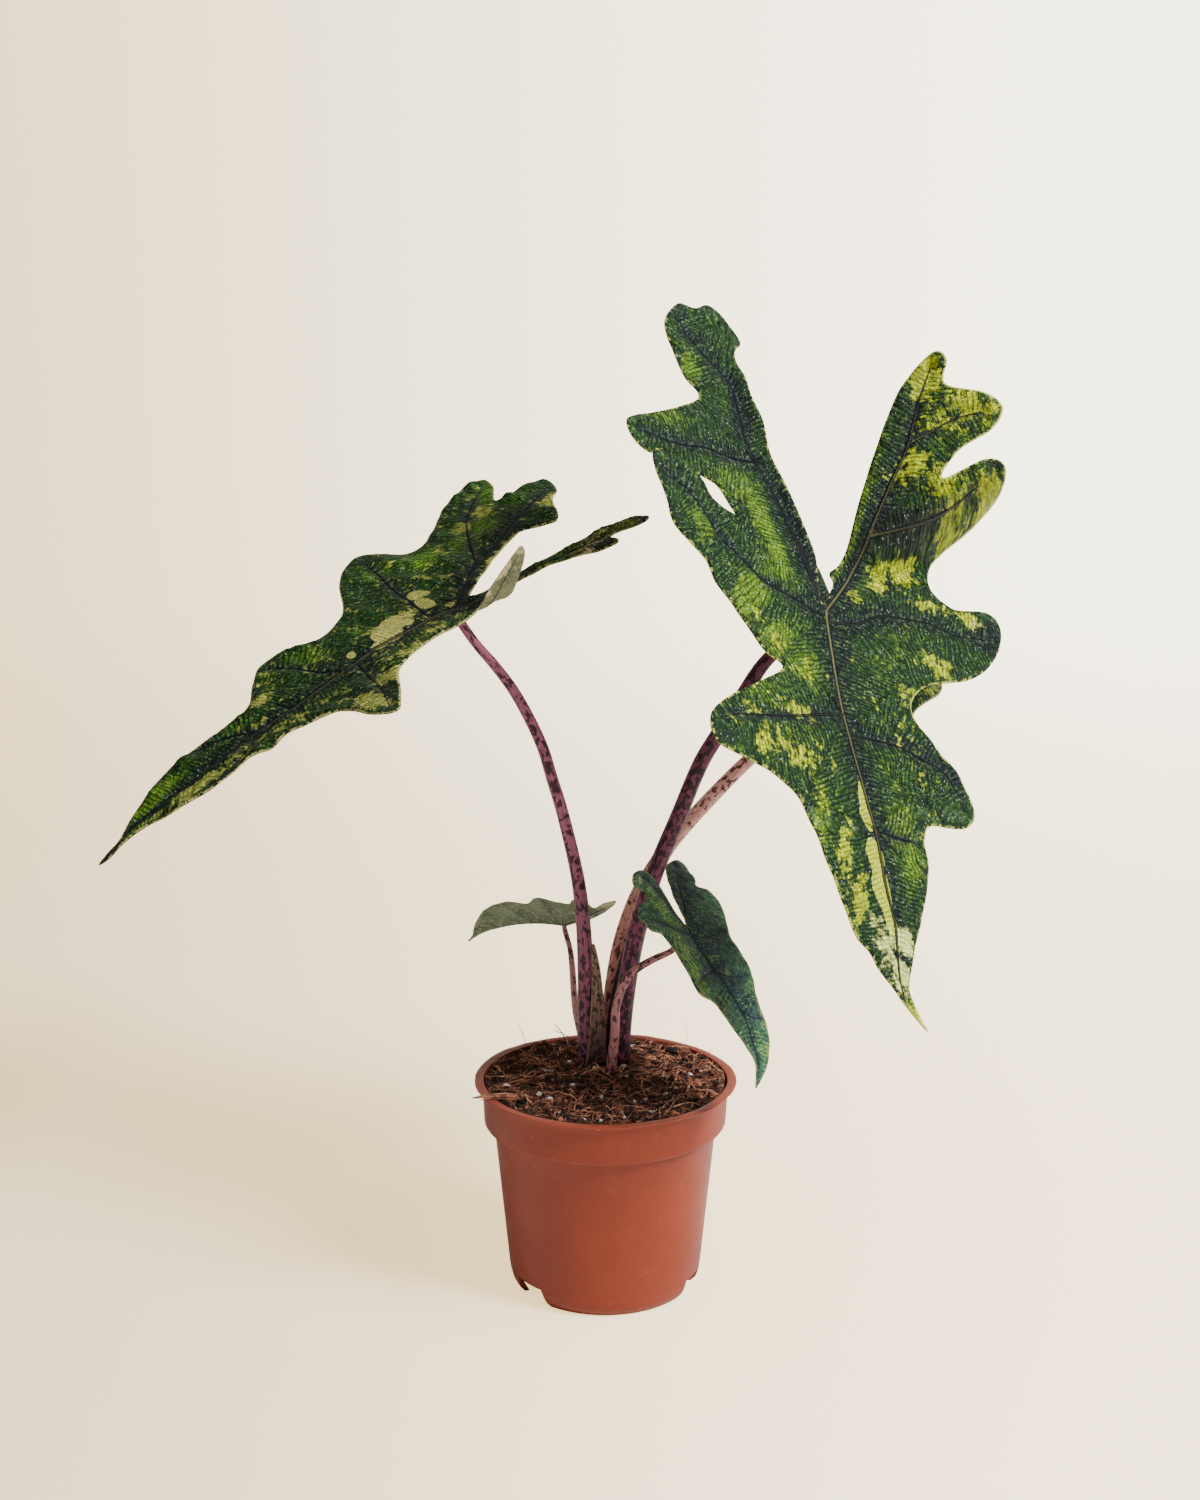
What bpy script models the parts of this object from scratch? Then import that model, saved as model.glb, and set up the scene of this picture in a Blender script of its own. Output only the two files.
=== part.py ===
"""Potted alocasia in a plastic nursery pot: five leaves on their stems, crown, soil and pot."""
import math

import bmesh
import bpy
import numpy as np
from mathutils import Vector
from mathutils.geometry import delaunay_2d_cdt

MM = 0.001

# Pot, millimetres
POT_H = 98.0
RIM_R = 60.0
LIP_T = 1.2
COLLAR_R = 56.4
COLLAR_LOW_R = 55.6
COLLAR_Z = 78.5
BODY_TOP_R = 51.0
BODY_LOW_R = 44.5
FOOT_R = 40.2
WALL = 1.2
FLOOR_Z = 10.0
NOTCH_H = 9.0
NOTCH_DEG = 24.0
NOTCH_AT = (98.0, 218.0, 338.0)
PAD_R = 7.0
DRAIN_R = 3.5
POT_SEG = 72

# Fit between neighbouring pieces
GAP = 0.3

# Soil
SOIL_EDGE_Z = 96.8
SOIL_MOUND = 4.6

# Crown that the stems grow from
CROWN_X = 0.0
CROWN_Y = 8.0
CROWN_R = 17.0
CROWN_TOP = 100.2
SOCKET_Z = 87.0

# Leaves
BLADE_T = 0.8
RIB_T = 1.1

# Each leaf lies in its own flat sheet: u toward the tip, v to the side, both in millimetres from
# the point where the stem meets the blade. The sheet is then bent: slope and curl raise each side
# along v, droop bends it along u, folds turn up part of the margin.
LEAVES = {
    "leaf_a": dict(
        at=(94.6, -15.0, 315.5), fore=(0.080, -0.668, -0.740), side=(0.886, 0.388, -0.254),
        slope=(12.0, 0.0), droop=(0.3, 0.0), back=(0.0, -2.5), step=5.5,
        folds=[dict(p=(-6.0, -4.0), turn=200.0, hand=-1, rise=45.0, r=5.0, span=(16.0, 112.0), soft=12.0)],
        outline=[(-4, -1), (-20, -2), (-37, -7), (-58, -15), (-74, -22), (-90, -25), (-106, -31),
                 (-127, -34), (-137, -29), (-146, -36), (-151, -46), (-144, -56), (-142, -66),
                 (-126, -76), (-110, -73), (-98, -67), (-90, -61), (-75, -80), (-62, -101),
                 (-53, -106), (-48, -99), (-48.5, -84), (-48, -74), (-46, -64), (-42, -54), (-32, -49),
                 (-34, -56), (-39, -65), (-43, -74), (-44.5, -83), (-42.5, -90), (-38, -94),
                 (-30, -91), (-11, -85), (-2, -71),
                 (9, -65), (22, -53), (34, -42), (39, -32), (50, -46), (64, -66), (76, -77),
                 (87, -75), (90, -58), (93, -35), (99, -31), (120, -23), (152, -11), (162, -2),
                 (178, 10), (190, 21), (179, 16), (171, 15), (153, 21), (135, 28), (118, 33),
                 (107, 33), (98, 37), (96, 55), (87, 62), (69, 56), (57, 46), (47, 39), (38, 38),
                 (27, 49), (20, 71), (9, 86), (-8, 96), (-20, 92), (-18, 71), (-25, 60), (-35, 59),
                 (-42, 64), (-50, 73), (-56, 78), (-63, 79), (-66, 71), (-58, 53), (-71, 60),
                 (-81, 74), (-92, 78), (-100, 70), (-105, 53), (-117, 53), (-121, 47), (-107, 36),
                 (-93, 30), (-70, 23), (-36, 13), (-25, 9), (-20, 4), (-15, 6)],
        ribs=[[(-2, 0), (30, 0), (51, 1), (73, 4), (93, 7), (107, 9), (128, 10), (146, 12), (164, 12)],
              [(-2, -1), (-30, -11), (-54, -22), (-76, -34), (-106, -39), (-117, -52)],
              [(-2, 1), (-19, 14), (-34, 20), (-60, 32), (-92, 41)]],
    ),
    "leaf_b": dict(
        at=(-66.4, 15.0, 311.6), fore=(-0.664, -0.686, -0.297), side=(0.663, -0.357, -0.659),
        slope=(-35.3, 48.4), droop=(1.918, 9.39), back=(0.764, -4.5), step=5.5,
        folds=[dict(p=(-4.0, 11.0), turn=158.0, hand=-1, rise=80.0, r=5.0, span=(2.0, 64.0), soft=12.0)],
        outline=[(-14, -5), (-48, -23), (-76, -34), (-84, -35), (-97, -29), (-108, -34), (-123, -50),
                 (-136, -58), (-144, -71), (-135, -77), (-115, -74), (-107, -75), (-122, -89),
                 (-126, -100), (-115, -102), (-85, -90), (-63, -76), (-41, -64), (-31, -67),
                 (-21, -82), (-8, -81), (10, -68), (27, -47), (37, -40), (53, -36), (69, -43),
                 (82, -42), (92, -34), (104, -21), (118, -19), (149, -18), (169, -10), (184, -1),
                 (196, 4), (190, 7), (178, 5), (145, 17), (125, 15), (116, 20), (105, 18),
                 (90, 27), (86, 33), (84, 53), (80, 62), (74, 57), (57, 30), (49, 23), (40, 19),
                 (28, 17), (14, 19), (2, 20), (-6, 25), (-12.5, 34.5), (-17.5, 41), (-20.5, 44),
                 (-22.5, 41), (-21, 32), (-18, 23), (-17, 15), (-22, 10), (-31, 8.5), (-40, 11),
                 (-54, 18.5), (-64, 32), (-73, 38),
                 (-77, 34), (-77, 28), (-83, 30), (-93, 38), (-97, 35), (-93, 24), (-80, 14),
                 (-62, 7), (-44, 1), (-28, -3)],
        ribs=[[(0, 0), (6, -4), (25, -5), (44, -6), (63, -4), (85, -2), (115, -2), (144, -1), (172, -2)],
              [(0, 0), (-18, -12), (-42, -28), (-61, -34), (-80, -43), (-105, -53)],
              [(0, 0), (-22, 2.5), (-34, 3), (-48, 8), (-72, 20)]],
    ),
    "leaf_c": dict(
        at=(36.9, -20.0, 174.0), fore=(0.447, -0.638, -0.627), side=(0.891, 0.377, 0.252),
        slope=(42.9, -33.7), droop=(5.14, 26.7), back=(-23.8, 6.74), step=4.0, folds=[],
        outline=[(-2.5, 0.5), (-11, -3), (-24, -7), (-36, -15), (-43, -23.5), (-44.5, -29),
                 (-35, -29.5), (-23.5, -21.5), (-17.5, -31), (-8, -35.5), (2.5, -32), (5, -24),
                 (14.5, -21.5), (25, -20.5), (32.5, -20), (36, -12.5), (41, -9.5), (50.5, -5.5),
                 (62.5, -0.5), (69, -2), (75.5, -8.5), (70.5, 5), (61, 14.5), (50, 19), (38.5, 20.5),
                 (26.5, 25.5), (15.5, 26.5), (4, 25.5), (-8, 30), (-20.5, 33), (-28, 31),
                 (-31, 25.5), (-37, 27.5), (-51.5, 28), (-52, 23.5), (-42.5, 13), (-23.5, 5),
                 (-11.5, 2.5)],
        ribs=[[(0, 0), (9.5, 0), (18.5, 1.5), (33, 4.5), (44.5, 6), (58, 4.5)],
              [(0, 0), (-12.5, -5.5), (-27, -13), (-37, -21)],
              [(0, 0), (-15.5, 7.5), (-34, 15), (-46, 21)]],
    ),
    "leaf_d": dict(
        at=(-19.1, 58.0, 154.0), fore=(-0.773, 0.631, -0.064), side=(-0.631, -0.755, 0.174),
        slope=(15.0, 28.8), droop=(6.36, 49.0), back=(0.0, -4.9), step=4.0, folds=[],
        outline=[(-4, 0), (-5, -5), (-6, -11), (-7, -17), (-5, -22), (-1, -24), (5, -22), (9, -18),
                 (14, -18), (22, -19), (35, -14), (49, -9), (61, -10), (77, -15), (65, -3), (53, 7),
                 (37.5, 16.5), (25, 20.5), (17.5, 21), (9.7, 19.5), (-2.5, 28.5), (-13, 25.5),
                 (-20, 24), (-25.5, 27.5), (-32, 25), (-32.5, 19.5), (-43, 23.5), (-49.5, 23),
                 (-41, 17.5), (-23.5, 8.7), (-10, 3)],
        ribs=[[(0, 0), (14, 0), (30, 0), (46, -1), (60, -6)],
              [(0, 0), (-12, 7), (-26, 14), (-38, 19)]],
    ),
    "leaf_e": dict(
        at=(120.0, 50.0, 276.3), fore=(0.100, -0.598, -0.795), side=(0.898, 0.399, -0.187),
        slope=(6.0, 4.0), droop=(0.5, 0.0), back=(0.5, -0.5), step=6.0, folds=[],
        outline=[(-5, 0), (-26, 9), (-48, 15), (-63, 19), (-69, 26), (-64, 32), (-52, 32), (-42, 28),
                 (-38, 36), (-33, 42), (-27, 42), (-22, 35), (-17, 31), (-9, 37), (-1, 42), (6, 40),
                 (13, 29), (19, 23), (27, 23), (36, 28), (42, 29), (47, 26), (51, 19), (61, 17),
                 (77, 13), (90, 8), (99, 3), (106, 0), (99, -3), (90, -8), (77, -13), (61, -16),
                 (51, -19), (47, -25), (42, -28), (35, -27), (27, -22), (19, -23), (13, -28),
                 (6, -38), (-1, -40), (-9, -36), (-17, -30), (-23, -34), (-28, -39), (-33, -38),
                 (-36, -33), (-40, -27), (-50, -28), (-59, -28), (-63, -23), (-57, -17), (-46, -13),
                 (-26, -8)],
        ribs=[[(0, 0), (20, 0), (42, 0), (64, 0), (86, 0)], [(0, 0), (-22, -12), (-44, -21)],
              [(0, 0), (-22, 12), (-44, 21)]],
    ),
}

# Stems: points that the axis passes through and the radius at each, from the crown upward
STEMS = {
    "petiole_a": dict(
        leaf="leaf_a",
        points=[(6.8, 6, 87.3), (7.8, 5, 122), (10.3, 4, 143.4), (13.6, 2.5, 163), (18.5, 1, 182),
                (24.1, 0, 200), (32.9, -1, 222), (42, -3, 245.4), (50, -5, 260), (59.5, -7, 276),
                (70, -9, 293), (87, -10, 309)],
        radii=[4.6, 4.4, 4.2, 4.1, 3.9, 3.8, 3.7, 3.6, 3.5, 3.4, 3.0, 2.4],
    ),
    "petiole_b": dict(
        leaf="leaf_b",
        points=[(-8.2, 8, 87.3), (-8.6, 8, 127.7), (-8.8, 8, 143.6), (-9.5, 8, 161), (-10.7, 8.4, 177),
                (-13.3, 9, 195), (-19, 10, 219.5), (-23.7, 10.5, 235.6), (-28.1, 11, 250.4),
                (-34.2, 12, 263.9), (-41.2, 13, 276.3), (-49.2, 14, 287), (-58.1, 14.5, 297.5)],
        radii=[4.2, 4.0, 3.8, 3.5, 3.3, 3.0, 2.8, 2.7, 2.6, 2.5, 2.4, 2.3, 2.1],
    ),
    "petiole_c": dict(
        leaf="leaf_c",
        points=[(2.6, -4, 87.3), (4.2, -8, 120), (4.7, -9.5, 133.5), (5.8, -10.7, 139), (7.8, -12, 145.6),
                (11.1, -12.5, 151.2), (16.5, -12.5, 155.6), (22.8, -12, 159), (30, -12.5, 162.8)],
        radii=[2.5, 2.1, 2.0, 1.9, 1.9, 1.8, 1.7, 1.6, 1.4],
    ),
    "petiole_d": dict(
        leaf="leaf_d",
        points=[(-8.5, 19.5, 87.3), (-13.6, 29, 120), (-15.4, 42, 136), (-16.6, 49, 144)],
        radii=[2.2, 1.7, 1.5, 1.3],
    ),
    "petiole_e": dict(
        leaf="leaf_e",
        points=[(3.0, 18, 87.3), (3.2, 19, 126), (6.1, 21.5, 147.4), (9.8, 25, 162), (15.4, 30, 176),
                (23.4, 36, 188.6), (31.5, 42, 199), (40.1, 48, 207.8), (54.5, 56, 221.4), (67.7, 62, 233.2),
                (90, 67, 253), (108, 65, 266)],
        radii=[4.4, 4.3, 4.2, 4.1, 3.9, 3.8, 3.6, 3.5, 3.4, 3.2, 2.8, 2.4],
    ),
}

# Papery sheaths beside the foot of a stem: foot, control point and tip of the middle line, width at
# the foot, the direction the outside faces and the radius it is bowed to
SHEATHS = {
    "sheath_b": dict(foot=(-4.3, 1.6, 100.5), via=(-1.6, 2.2, 130), tip=(-5.2, 3.6, 160.5), width=10.5,
                     facing=-84.0, bow=9.0),
    "sheath_e": dict(foot=(5.15, 12.1, 100.5), via=(3.1, 11.5, 130), tip=(12.1, 19.2, 162.0), width=11.0,
                     facing=-70.0, bow=6.3),
}


def clear_scene():
    for obj in list(bpy.data.objects):
        bpy.data.objects.remove(obj, do_unlink=True)


def paint(obj, name, colour, rough, sheen=0.0):
    mat = bpy.data.materials.new(name)
    mat.use_nodes = True
    shader = mat.node_tree.nodes["Principled BSDF"]
    shader.inputs["Base Color"].default_value = (*colour, 1.0)
    shader.inputs["Roughness"].default_value = rough
    shader.inputs["Coat Weight"].default_value = sheen
    mat.diffuse_color = (*colour, 1.0)
    obj.data.materials.append(mat)


def add_mesh(name, verts, faces, smooth=True):
    mesh = bpy.data.meshes.new(name)
    mesh.from_pydata([tuple(float(c) * MM for c in v) for v in verts], [], faces)
    bm = bmesh.new()
    bm.from_mesh(mesh)
    bmesh.ops.remove_doubles(bm, verts=bm.verts, dist=1e-6)
    bmesh.ops.recalc_face_normals(bm, faces=bm.faces)
    bm.to_mesh(mesh)
    bm.free()
    for poly in mesh.polygons:
        poly.use_smooth = smooth
    obj = bpy.data.objects.new(name, mesh)
    bpy.context.scene.collection.objects.link(obj)
    return obj


def cut(obj, cutter):
    cutter.hide_render = True
    cutter.display_type = "WIRE"
    mod = obj.modifiers.new("cut_" + cutter.name, "BOOLEAN")
    mod.operation = "DIFFERENCE"
    mod.solver = "EXACT"
    mod.object = cutter


def spline(points, closed):
    """Catmull-Rom curve through the points, eight steps a span."""
    pts = np.array(points, float)
    count = len(pts)
    out = []
    for i in range(count if closed else count - 1):
        if closed:
            a, b, c, d = pts[i - 1], pts[i], pts[(i + 1) % count], pts[(i + 2) % count]
        else:
            a, b, c, d = pts[max(i - 1, 0)], pts[i], pts[i + 1], pts[min(i + 2, count - 1)]
        for k in range(8):
            t = k / 8.0
            out.append(0.5 * (2 * b + (c - a) * t + (2 * a - 5 * b + 4 * c - d) * t ** 2
                              + (3 * b - a - 3 * c + d) * t ** 3))
    if not closed:
        out.append(pts[-1])
    return np.array(out)


def even(curve, step, closed):
    """The same curve with evenly spaced points."""
    line = np.vstack([curve, curve[:1]]) if closed else curve
    length = np.concatenate([[0.0], np.cumsum(np.linalg.norm(np.diff(line, axis=0), axis=1))])
    count = max(int(round(length[-1] / step)), 3)
    at = np.linspace(0.0, length[-1], count + 1)
    if closed:
        at = at[:-1]
    return np.stack([np.interp(at, length, line[:, k]) for k in range(line.shape[1])], axis=1)


def turn_up(u, v, w, fold):
    """Rolls the part of the sheet beyond a line upward round a small radius."""
    angle = math.radians(fold["turn"])
    along = np.array([math.cos(angle), math.sin(angle)])
    across = np.array([-along[1], along[0]]) * fold["hand"]
    du = u - fold["p"][0]
    dv = v - fold["p"][1]
    s = du * along[0] + dv * along[1]
    d = du * across[0] + dv * across[1]
    low, high = fold["span"]
    window = 1 / (1 + np.exp(-4 * (s - low) / fold["soft"])) / (1 + np.exp(4 * (s - high) / fold["soft"]))
    rise = math.radians(fold["rise"]) * window
    reach = np.maximum(d, 0.0)
    turned = np.minimum(reach / fold["r"], rise)
    rest = reach - turned * fold["r"]
    flat = fold["r"] * np.sin(turned) + rest * np.cos(turned)
    lift = fold["r"] * (1 - np.cos(turned)) + rest * np.sin(turned)
    d = np.where(d > 0, flat, d)
    return fold["p"][0] + s * along[0] + d * across[0], fold["p"][1] + s * along[1] + d * across[1], w + lift


def bent(leaf, u, v):
    """Place of flat points (u, v) on the bent blade, millimetres."""
    u = np.asarray(u, float)
    v = np.asarray(v, float)
    w = np.zeros_like(u)
    for fold in leaf["folds"]:
        u, v, w = turn_up(u, v, w, fold)
    right = v > 0
    phi = np.radians(np.where(right, leaf["slope"][1], leaf["slope"][0]))
    side = np.abs(v) * np.cos(phi) - w * np.sin(phi)
    lift = np.abs(v) * np.sin(phi) + w * np.cos(phi)
    side = np.where(right, side, -side)
    back = np.where(right, leaf["back"][1], leaf["back"][0]) * 1e-3
    k1 = np.where(u > 0, leaf["droop"][0] * 1e-3, back)
    k2 = np.where(u > 0, leaf["droop"][1] * 1e-6, 0.0)
    q = (np.arange(24) + 0.5) / 24
    theta = k1[..., None] * u[..., None] * q + 0.5 * k2[..., None] * (u[..., None] * q) ** 2
    run = np.cos(theta).mean(-1) * u
    fall = -np.sin(theta).mean(-1) * u
    end = k1 * u + 0.5 * k2 * u * u
    x = run + lift * np.sin(end)
    z = fall + lift * np.cos(end)
    fore = np.array(leaf["fore"])
    fore = fore / np.linalg.norm(fore)
    across = np.array(leaf["side"])
    across = across - fore * (across @ fore)
    across = across / np.linalg.norm(across)
    up = np.cross(fore, across)
    return np.array(leaf["at"]) + x[..., None] * fore + side[..., None] * across + z[..., None] * up


def blade_normal(leaf, u, v):
    h = 0.6
    du = bent(leaf, u + h, v) - bent(leaf, u - h, v)
    dv = bent(leaf, u, v + h) - bent(leaf, u, v - h)
    n = np.cross(du, dv)
    return n / np.linalg.norm(n, axis=-1, keepdims=True)


def inside(points, loop):
    """True for points inside the closed loop, and their distance from it."""
    a = loop
    b = np.roll(loop, -1, axis=0)
    p = points[:, None, :]
    cross = ((a[:, 1] > p[..., 1]) != (b[:, 1] > p[..., 1])) & (
        p[..., 0] < (b[:, 0] - a[:, 0]) * (p[..., 1] - a[:, 1]) / (b[:, 1] - a[:, 1] + 1e-12) + a[:, 0])
    t = np.clip(((p - a) * (b - a)).sum(-1) / ((b - a) ** 2).sum(-1), 0, 1)
    far = np.linalg.norm(p - (a + t[..., None] * (b - a)), axis=-1).min(1)
    return cross.sum(1) % 2 == 1, far


def make_leaf(name, leaf, colour):
    step = leaf["step"]
    loop = even(spline(leaf["outline"], True), step, True)
    ribs = [even(spline(line, False), step * 1.3, False) for line in leaf["ribs"]]
    rib_points = np.vstack(ribs)
    keep_in, far = inside(rib_points, loop)
    rib_points = rib_points[keep_in & (far > 1.5)]
    close = np.linalg.norm(rib_points[:, None] - rib_points[None], axis=-1)
    close = np.triu(close < 2.5, 1).any(0)
    rib_points = rib_points[~close]
    pitch = step * 1.55
    low = loop.min(0)
    high = loop.max(0)
    rows = np.arange(low[0], high[0], pitch * 0.866)
    grid = np.array([(u, v + (pitch / 2 if i % 2 else 0)) for i, u in enumerate(rows)
                     for v in np.arange(low[1], high[1], pitch)])
    keep_in, far = inside(grid, loop)
    grid = grid[keep_in & (far > step * 0.75)]
    off = np.linalg.norm(grid[:, None] - rib_points[None], axis=-1).min(1)
    grid = grid[off > step * 0.85]
    flat = np.vstack([loop, rib_points, grid])
    ring = [list(range(len(loop)))]
    found = delaunay_2d_cdt([Vector(p) for p in flat], [], ring, 1, 1e-4)
    points = np.array([tuple(p) for p in found[0]])
    tris = [tuple(f) for f in found[2]]
    mid = bent(leaf, points[:, 0], points[:, 1])
    normal = blade_normal(leaf, points[:, 0], points[:, 1])
    near_rib = np.linalg.norm(points[:, None] - rib_points[None], axis=-1).min(1) < 0.1
    under = BLADE_T / 2 + np.where(near_rib, RIB_T, 0.0)
    top = mid + normal * BLADE_T / 2
    bottom = mid - normal * under[:, None]
    count = len(points)
    edges = {}
    for tri in tris:
        for i in range(3):
            a, b = tri[i], tri[(i + 1) % 3]
            edges[(a, b)] = edges.get((a, b), 0) + 1
    rim = [(a, b) for (a, b) in edges if (b, a) not in edges]
    faces = [tri for tri in tris]
    faces += [tuple(count + i for i in reversed(tri)) for tri in tris]
    for a, b in rim:
        faces.append((b, a, count + a))
        faces.append((b, count + a, count + b))
    obj = add_mesh(name, np.vstack([top, bottom]), faces)
    paint(obj, name, colour, 0.38, 0.2)
    return obj


def frames(path):
    """Axis directions and two cross directions carried along the path without twist."""
    tangent = np.gradient(path, axis=0)
    tangent /= np.linalg.norm(tangent, axis=1, keepdims=True)
    cross = np.zeros_like(path)
    first = np.array([1.0, 0.0, 0.0])
    for i, t in enumerate(tangent):
        first = first - t * (first @ t)
        first = first / np.linalg.norm(first)
        cross[i] = first
    return tangent, cross, np.cross(tangent, cross)


def stem_line(stem):
    """Points and radii along a stem, ended clear of the underside of its leaf."""
    leaf = LEAVES[stem["leaf"]]
    at = np.array([0.0])
    under = (blade_normal(leaf, at, at - 3.0) + blade_normal(leaf, at, at + 3.0))[0]
    under = under / np.linalg.norm(under)
    tip_r = stem["radii"][-1]
    last = np.array(leaf["at"]) - under * (BLADE_T / 2 + RIB_T + GAP + tip_r * 0.55)
    x, y, foot = stem["points"][0]
    points = [(x, y, CROWN_TOP + 0.4), (x, y, CROWN_TOP + 1.6)] + stem["points"][1:] + [tuple(last)]
    radii = [stem["radii"][0]] * 2 + stem["radii"][1:] + [tip_r * 0.92]
    path = spline(np.column_stack([np.array(points, float), np.array(radii)]), False)
    path = even(path, 11.0 if tip_r > 2 else 7.0, False)
    path = np.vstack([[x, y, foot, radii[0]], path])
    return path[:, :3], path[:, 3]


def make_stem(name, stem, colour):
    path, radii = stem_line(stem)
    tangent, side, other = frames(path)
    seg = 12
    verts = []
    rings = []
    end = len(path) - 1
    plan = [(i, radii[i], 0.0) for i in range(end)]
    plan += [(end, radii[end], 0.0), (end, radii[end] * 0.55, radii[end] * 0.35)]
    for i, r, ahead in plan:
        centre = path[i] + tangent[i] * ahead
        ring = []
        for k in range(seg):
            a = 2 * math.pi * k / seg
            ring.append(len(verts))
            verts.append(centre + (side[i] * math.cos(a) + other[i] * math.sin(a)) * r)
        rings.append(ring)
    faces = []
    for low, high in zip(rings, rings[1:]):
        for k in range(seg):
            n = (k + 1) % seg
            faces.append((low[k], low[n], high[n], high[k]))
    faces.append(tuple(reversed(rings[0])))
    faces.append(tuple(rings[-1]))
    obj = add_mesh(name, verts, faces)
    obj.data.set_sharp_from_angle(angle=math.radians(50))
    paint(obj, name, colour, 0.4, 0.1)
    return obj


def make_sheath(name, sheath, colour):
    """A thin bowed scale that narrows upward to a rounded point."""
    rows = 12
    cols = 6
    thick = 0.9
    foot, via, tip = (np.array(sheath[key]) for key in ("foot", "via", "tip"))
    facing = math.radians(sheath["facing"])
    out = np.array([math.cos(facing), math.sin(facing), 0.0])
    across = np.array([-out[1], out[0], 0.0])
    skin = []
    for radius in (sheath["bow"] - thick, sheath["bow"]):
        for j in range(rows + 1):
            t = j / rows
            middle = foot * (1 - t) ** 2 + via * 2 * t * (1 - t) + tip * t * t
            half = 0.5 * sheath["width"] * ((1 - t) ** 0.7 * 0.88 + 0.12) / sheath["bow"]
            for i in range(cols + 1):
                a = half * (2 * i / cols - 1)
                ray = out * math.cos(a) + across * math.sin(a)
                skin.append(middle + ray * radius - out * sheath["bow"])
    size = (rows + 1) * (cols + 1)

    def at(layer, j, i):
        return layer * size + j * (cols + 1) + i

    faces = []
    for j in range(rows):
        for i in range(cols):
            quad = (at(1, j, i), at(1, j, i + 1), at(1, j + 1, i + 1), at(1, j + 1, i))
            faces.append((quad[0], quad[1], quad[2]))
            faces.append((quad[0], quad[2], quad[3]))
            quad = tuple(q - size for q in quad)
            faces.append((quad[2], quad[1], quad[0]))
            faces.append((quad[3], quad[2], quad[0]))
    for j in range(rows):
        faces.append((at(0, j, 0), at(1, j, 0), at(1, j + 1, 0), at(0, j + 1, 0)))
        faces.append((at(0, j + 1, cols), at(1, j + 1, cols), at(1, j, cols), at(0, j, cols)))
    for i in range(cols):
        faces.append((at(0, 0, i + 1), at(1, 0, i + 1), at(1, 0, i), at(0, 0, i)))
        faces.append((at(0, rows, i), at(1, rows, i), at(1, rows, i + 1), at(0, rows, i + 1)))
    obj = add_mesh(name, skin, faces)
    obj.data.set_sharp_from_angle(angle=math.radians(50))
    paint(obj, name, colour, 0.7)
    return obj


def revolve(name, profile, seg, centre=(0.0, 0.0), smooth_angle=32.0):
    """Closed body from a profile of (radius, height) that starts and ends on the axis or closes."""
    verts = []
    rings = []
    for r, z in profile:
        if r < 1e-6:
            rings.append([len(verts)])
            verts.append((centre[0], centre[1], z))
            continue
        ring = []
        for k in range(seg):
            a = 2 * math.pi * k / seg
            ring.append(len(verts))
            verts.append((centre[0] + r * math.cos(a), centre[1] + r * math.sin(a), z))
        rings.append(ring)
    faces = []
    for low, high in zip(rings, rings[1:]):
        for k in range(seg):
            n = (k + 1) % seg
            if len(low) == 1:
                faces.append((low[0], high[n], high[k]))
            elif len(high) == 1:
                faces.append((low[k], low[n], high[0]))
            else:
                faces.append((low[k], low[n], high[n], high[k]))
    obj = add_mesh(name, verts, faces)
    obj.data.set_sharp_from_angle(angle=math.radians(smooth_angle))
    return obj


def pot_wall(z):
    """Outer radius of the pot at a height."""
    heights = [0.0, 2.0, 5.0, 10.0, COLLAR_Z - 2.0, COLLAR_Z, POT_H]
    radii = [FOOT_R, 42.0, 43.6, BODY_LOW_R, BODY_TOP_R, COLLAR_LOW_R, COLLAR_R]
    return float(np.interp(z, heights, radii))


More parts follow.
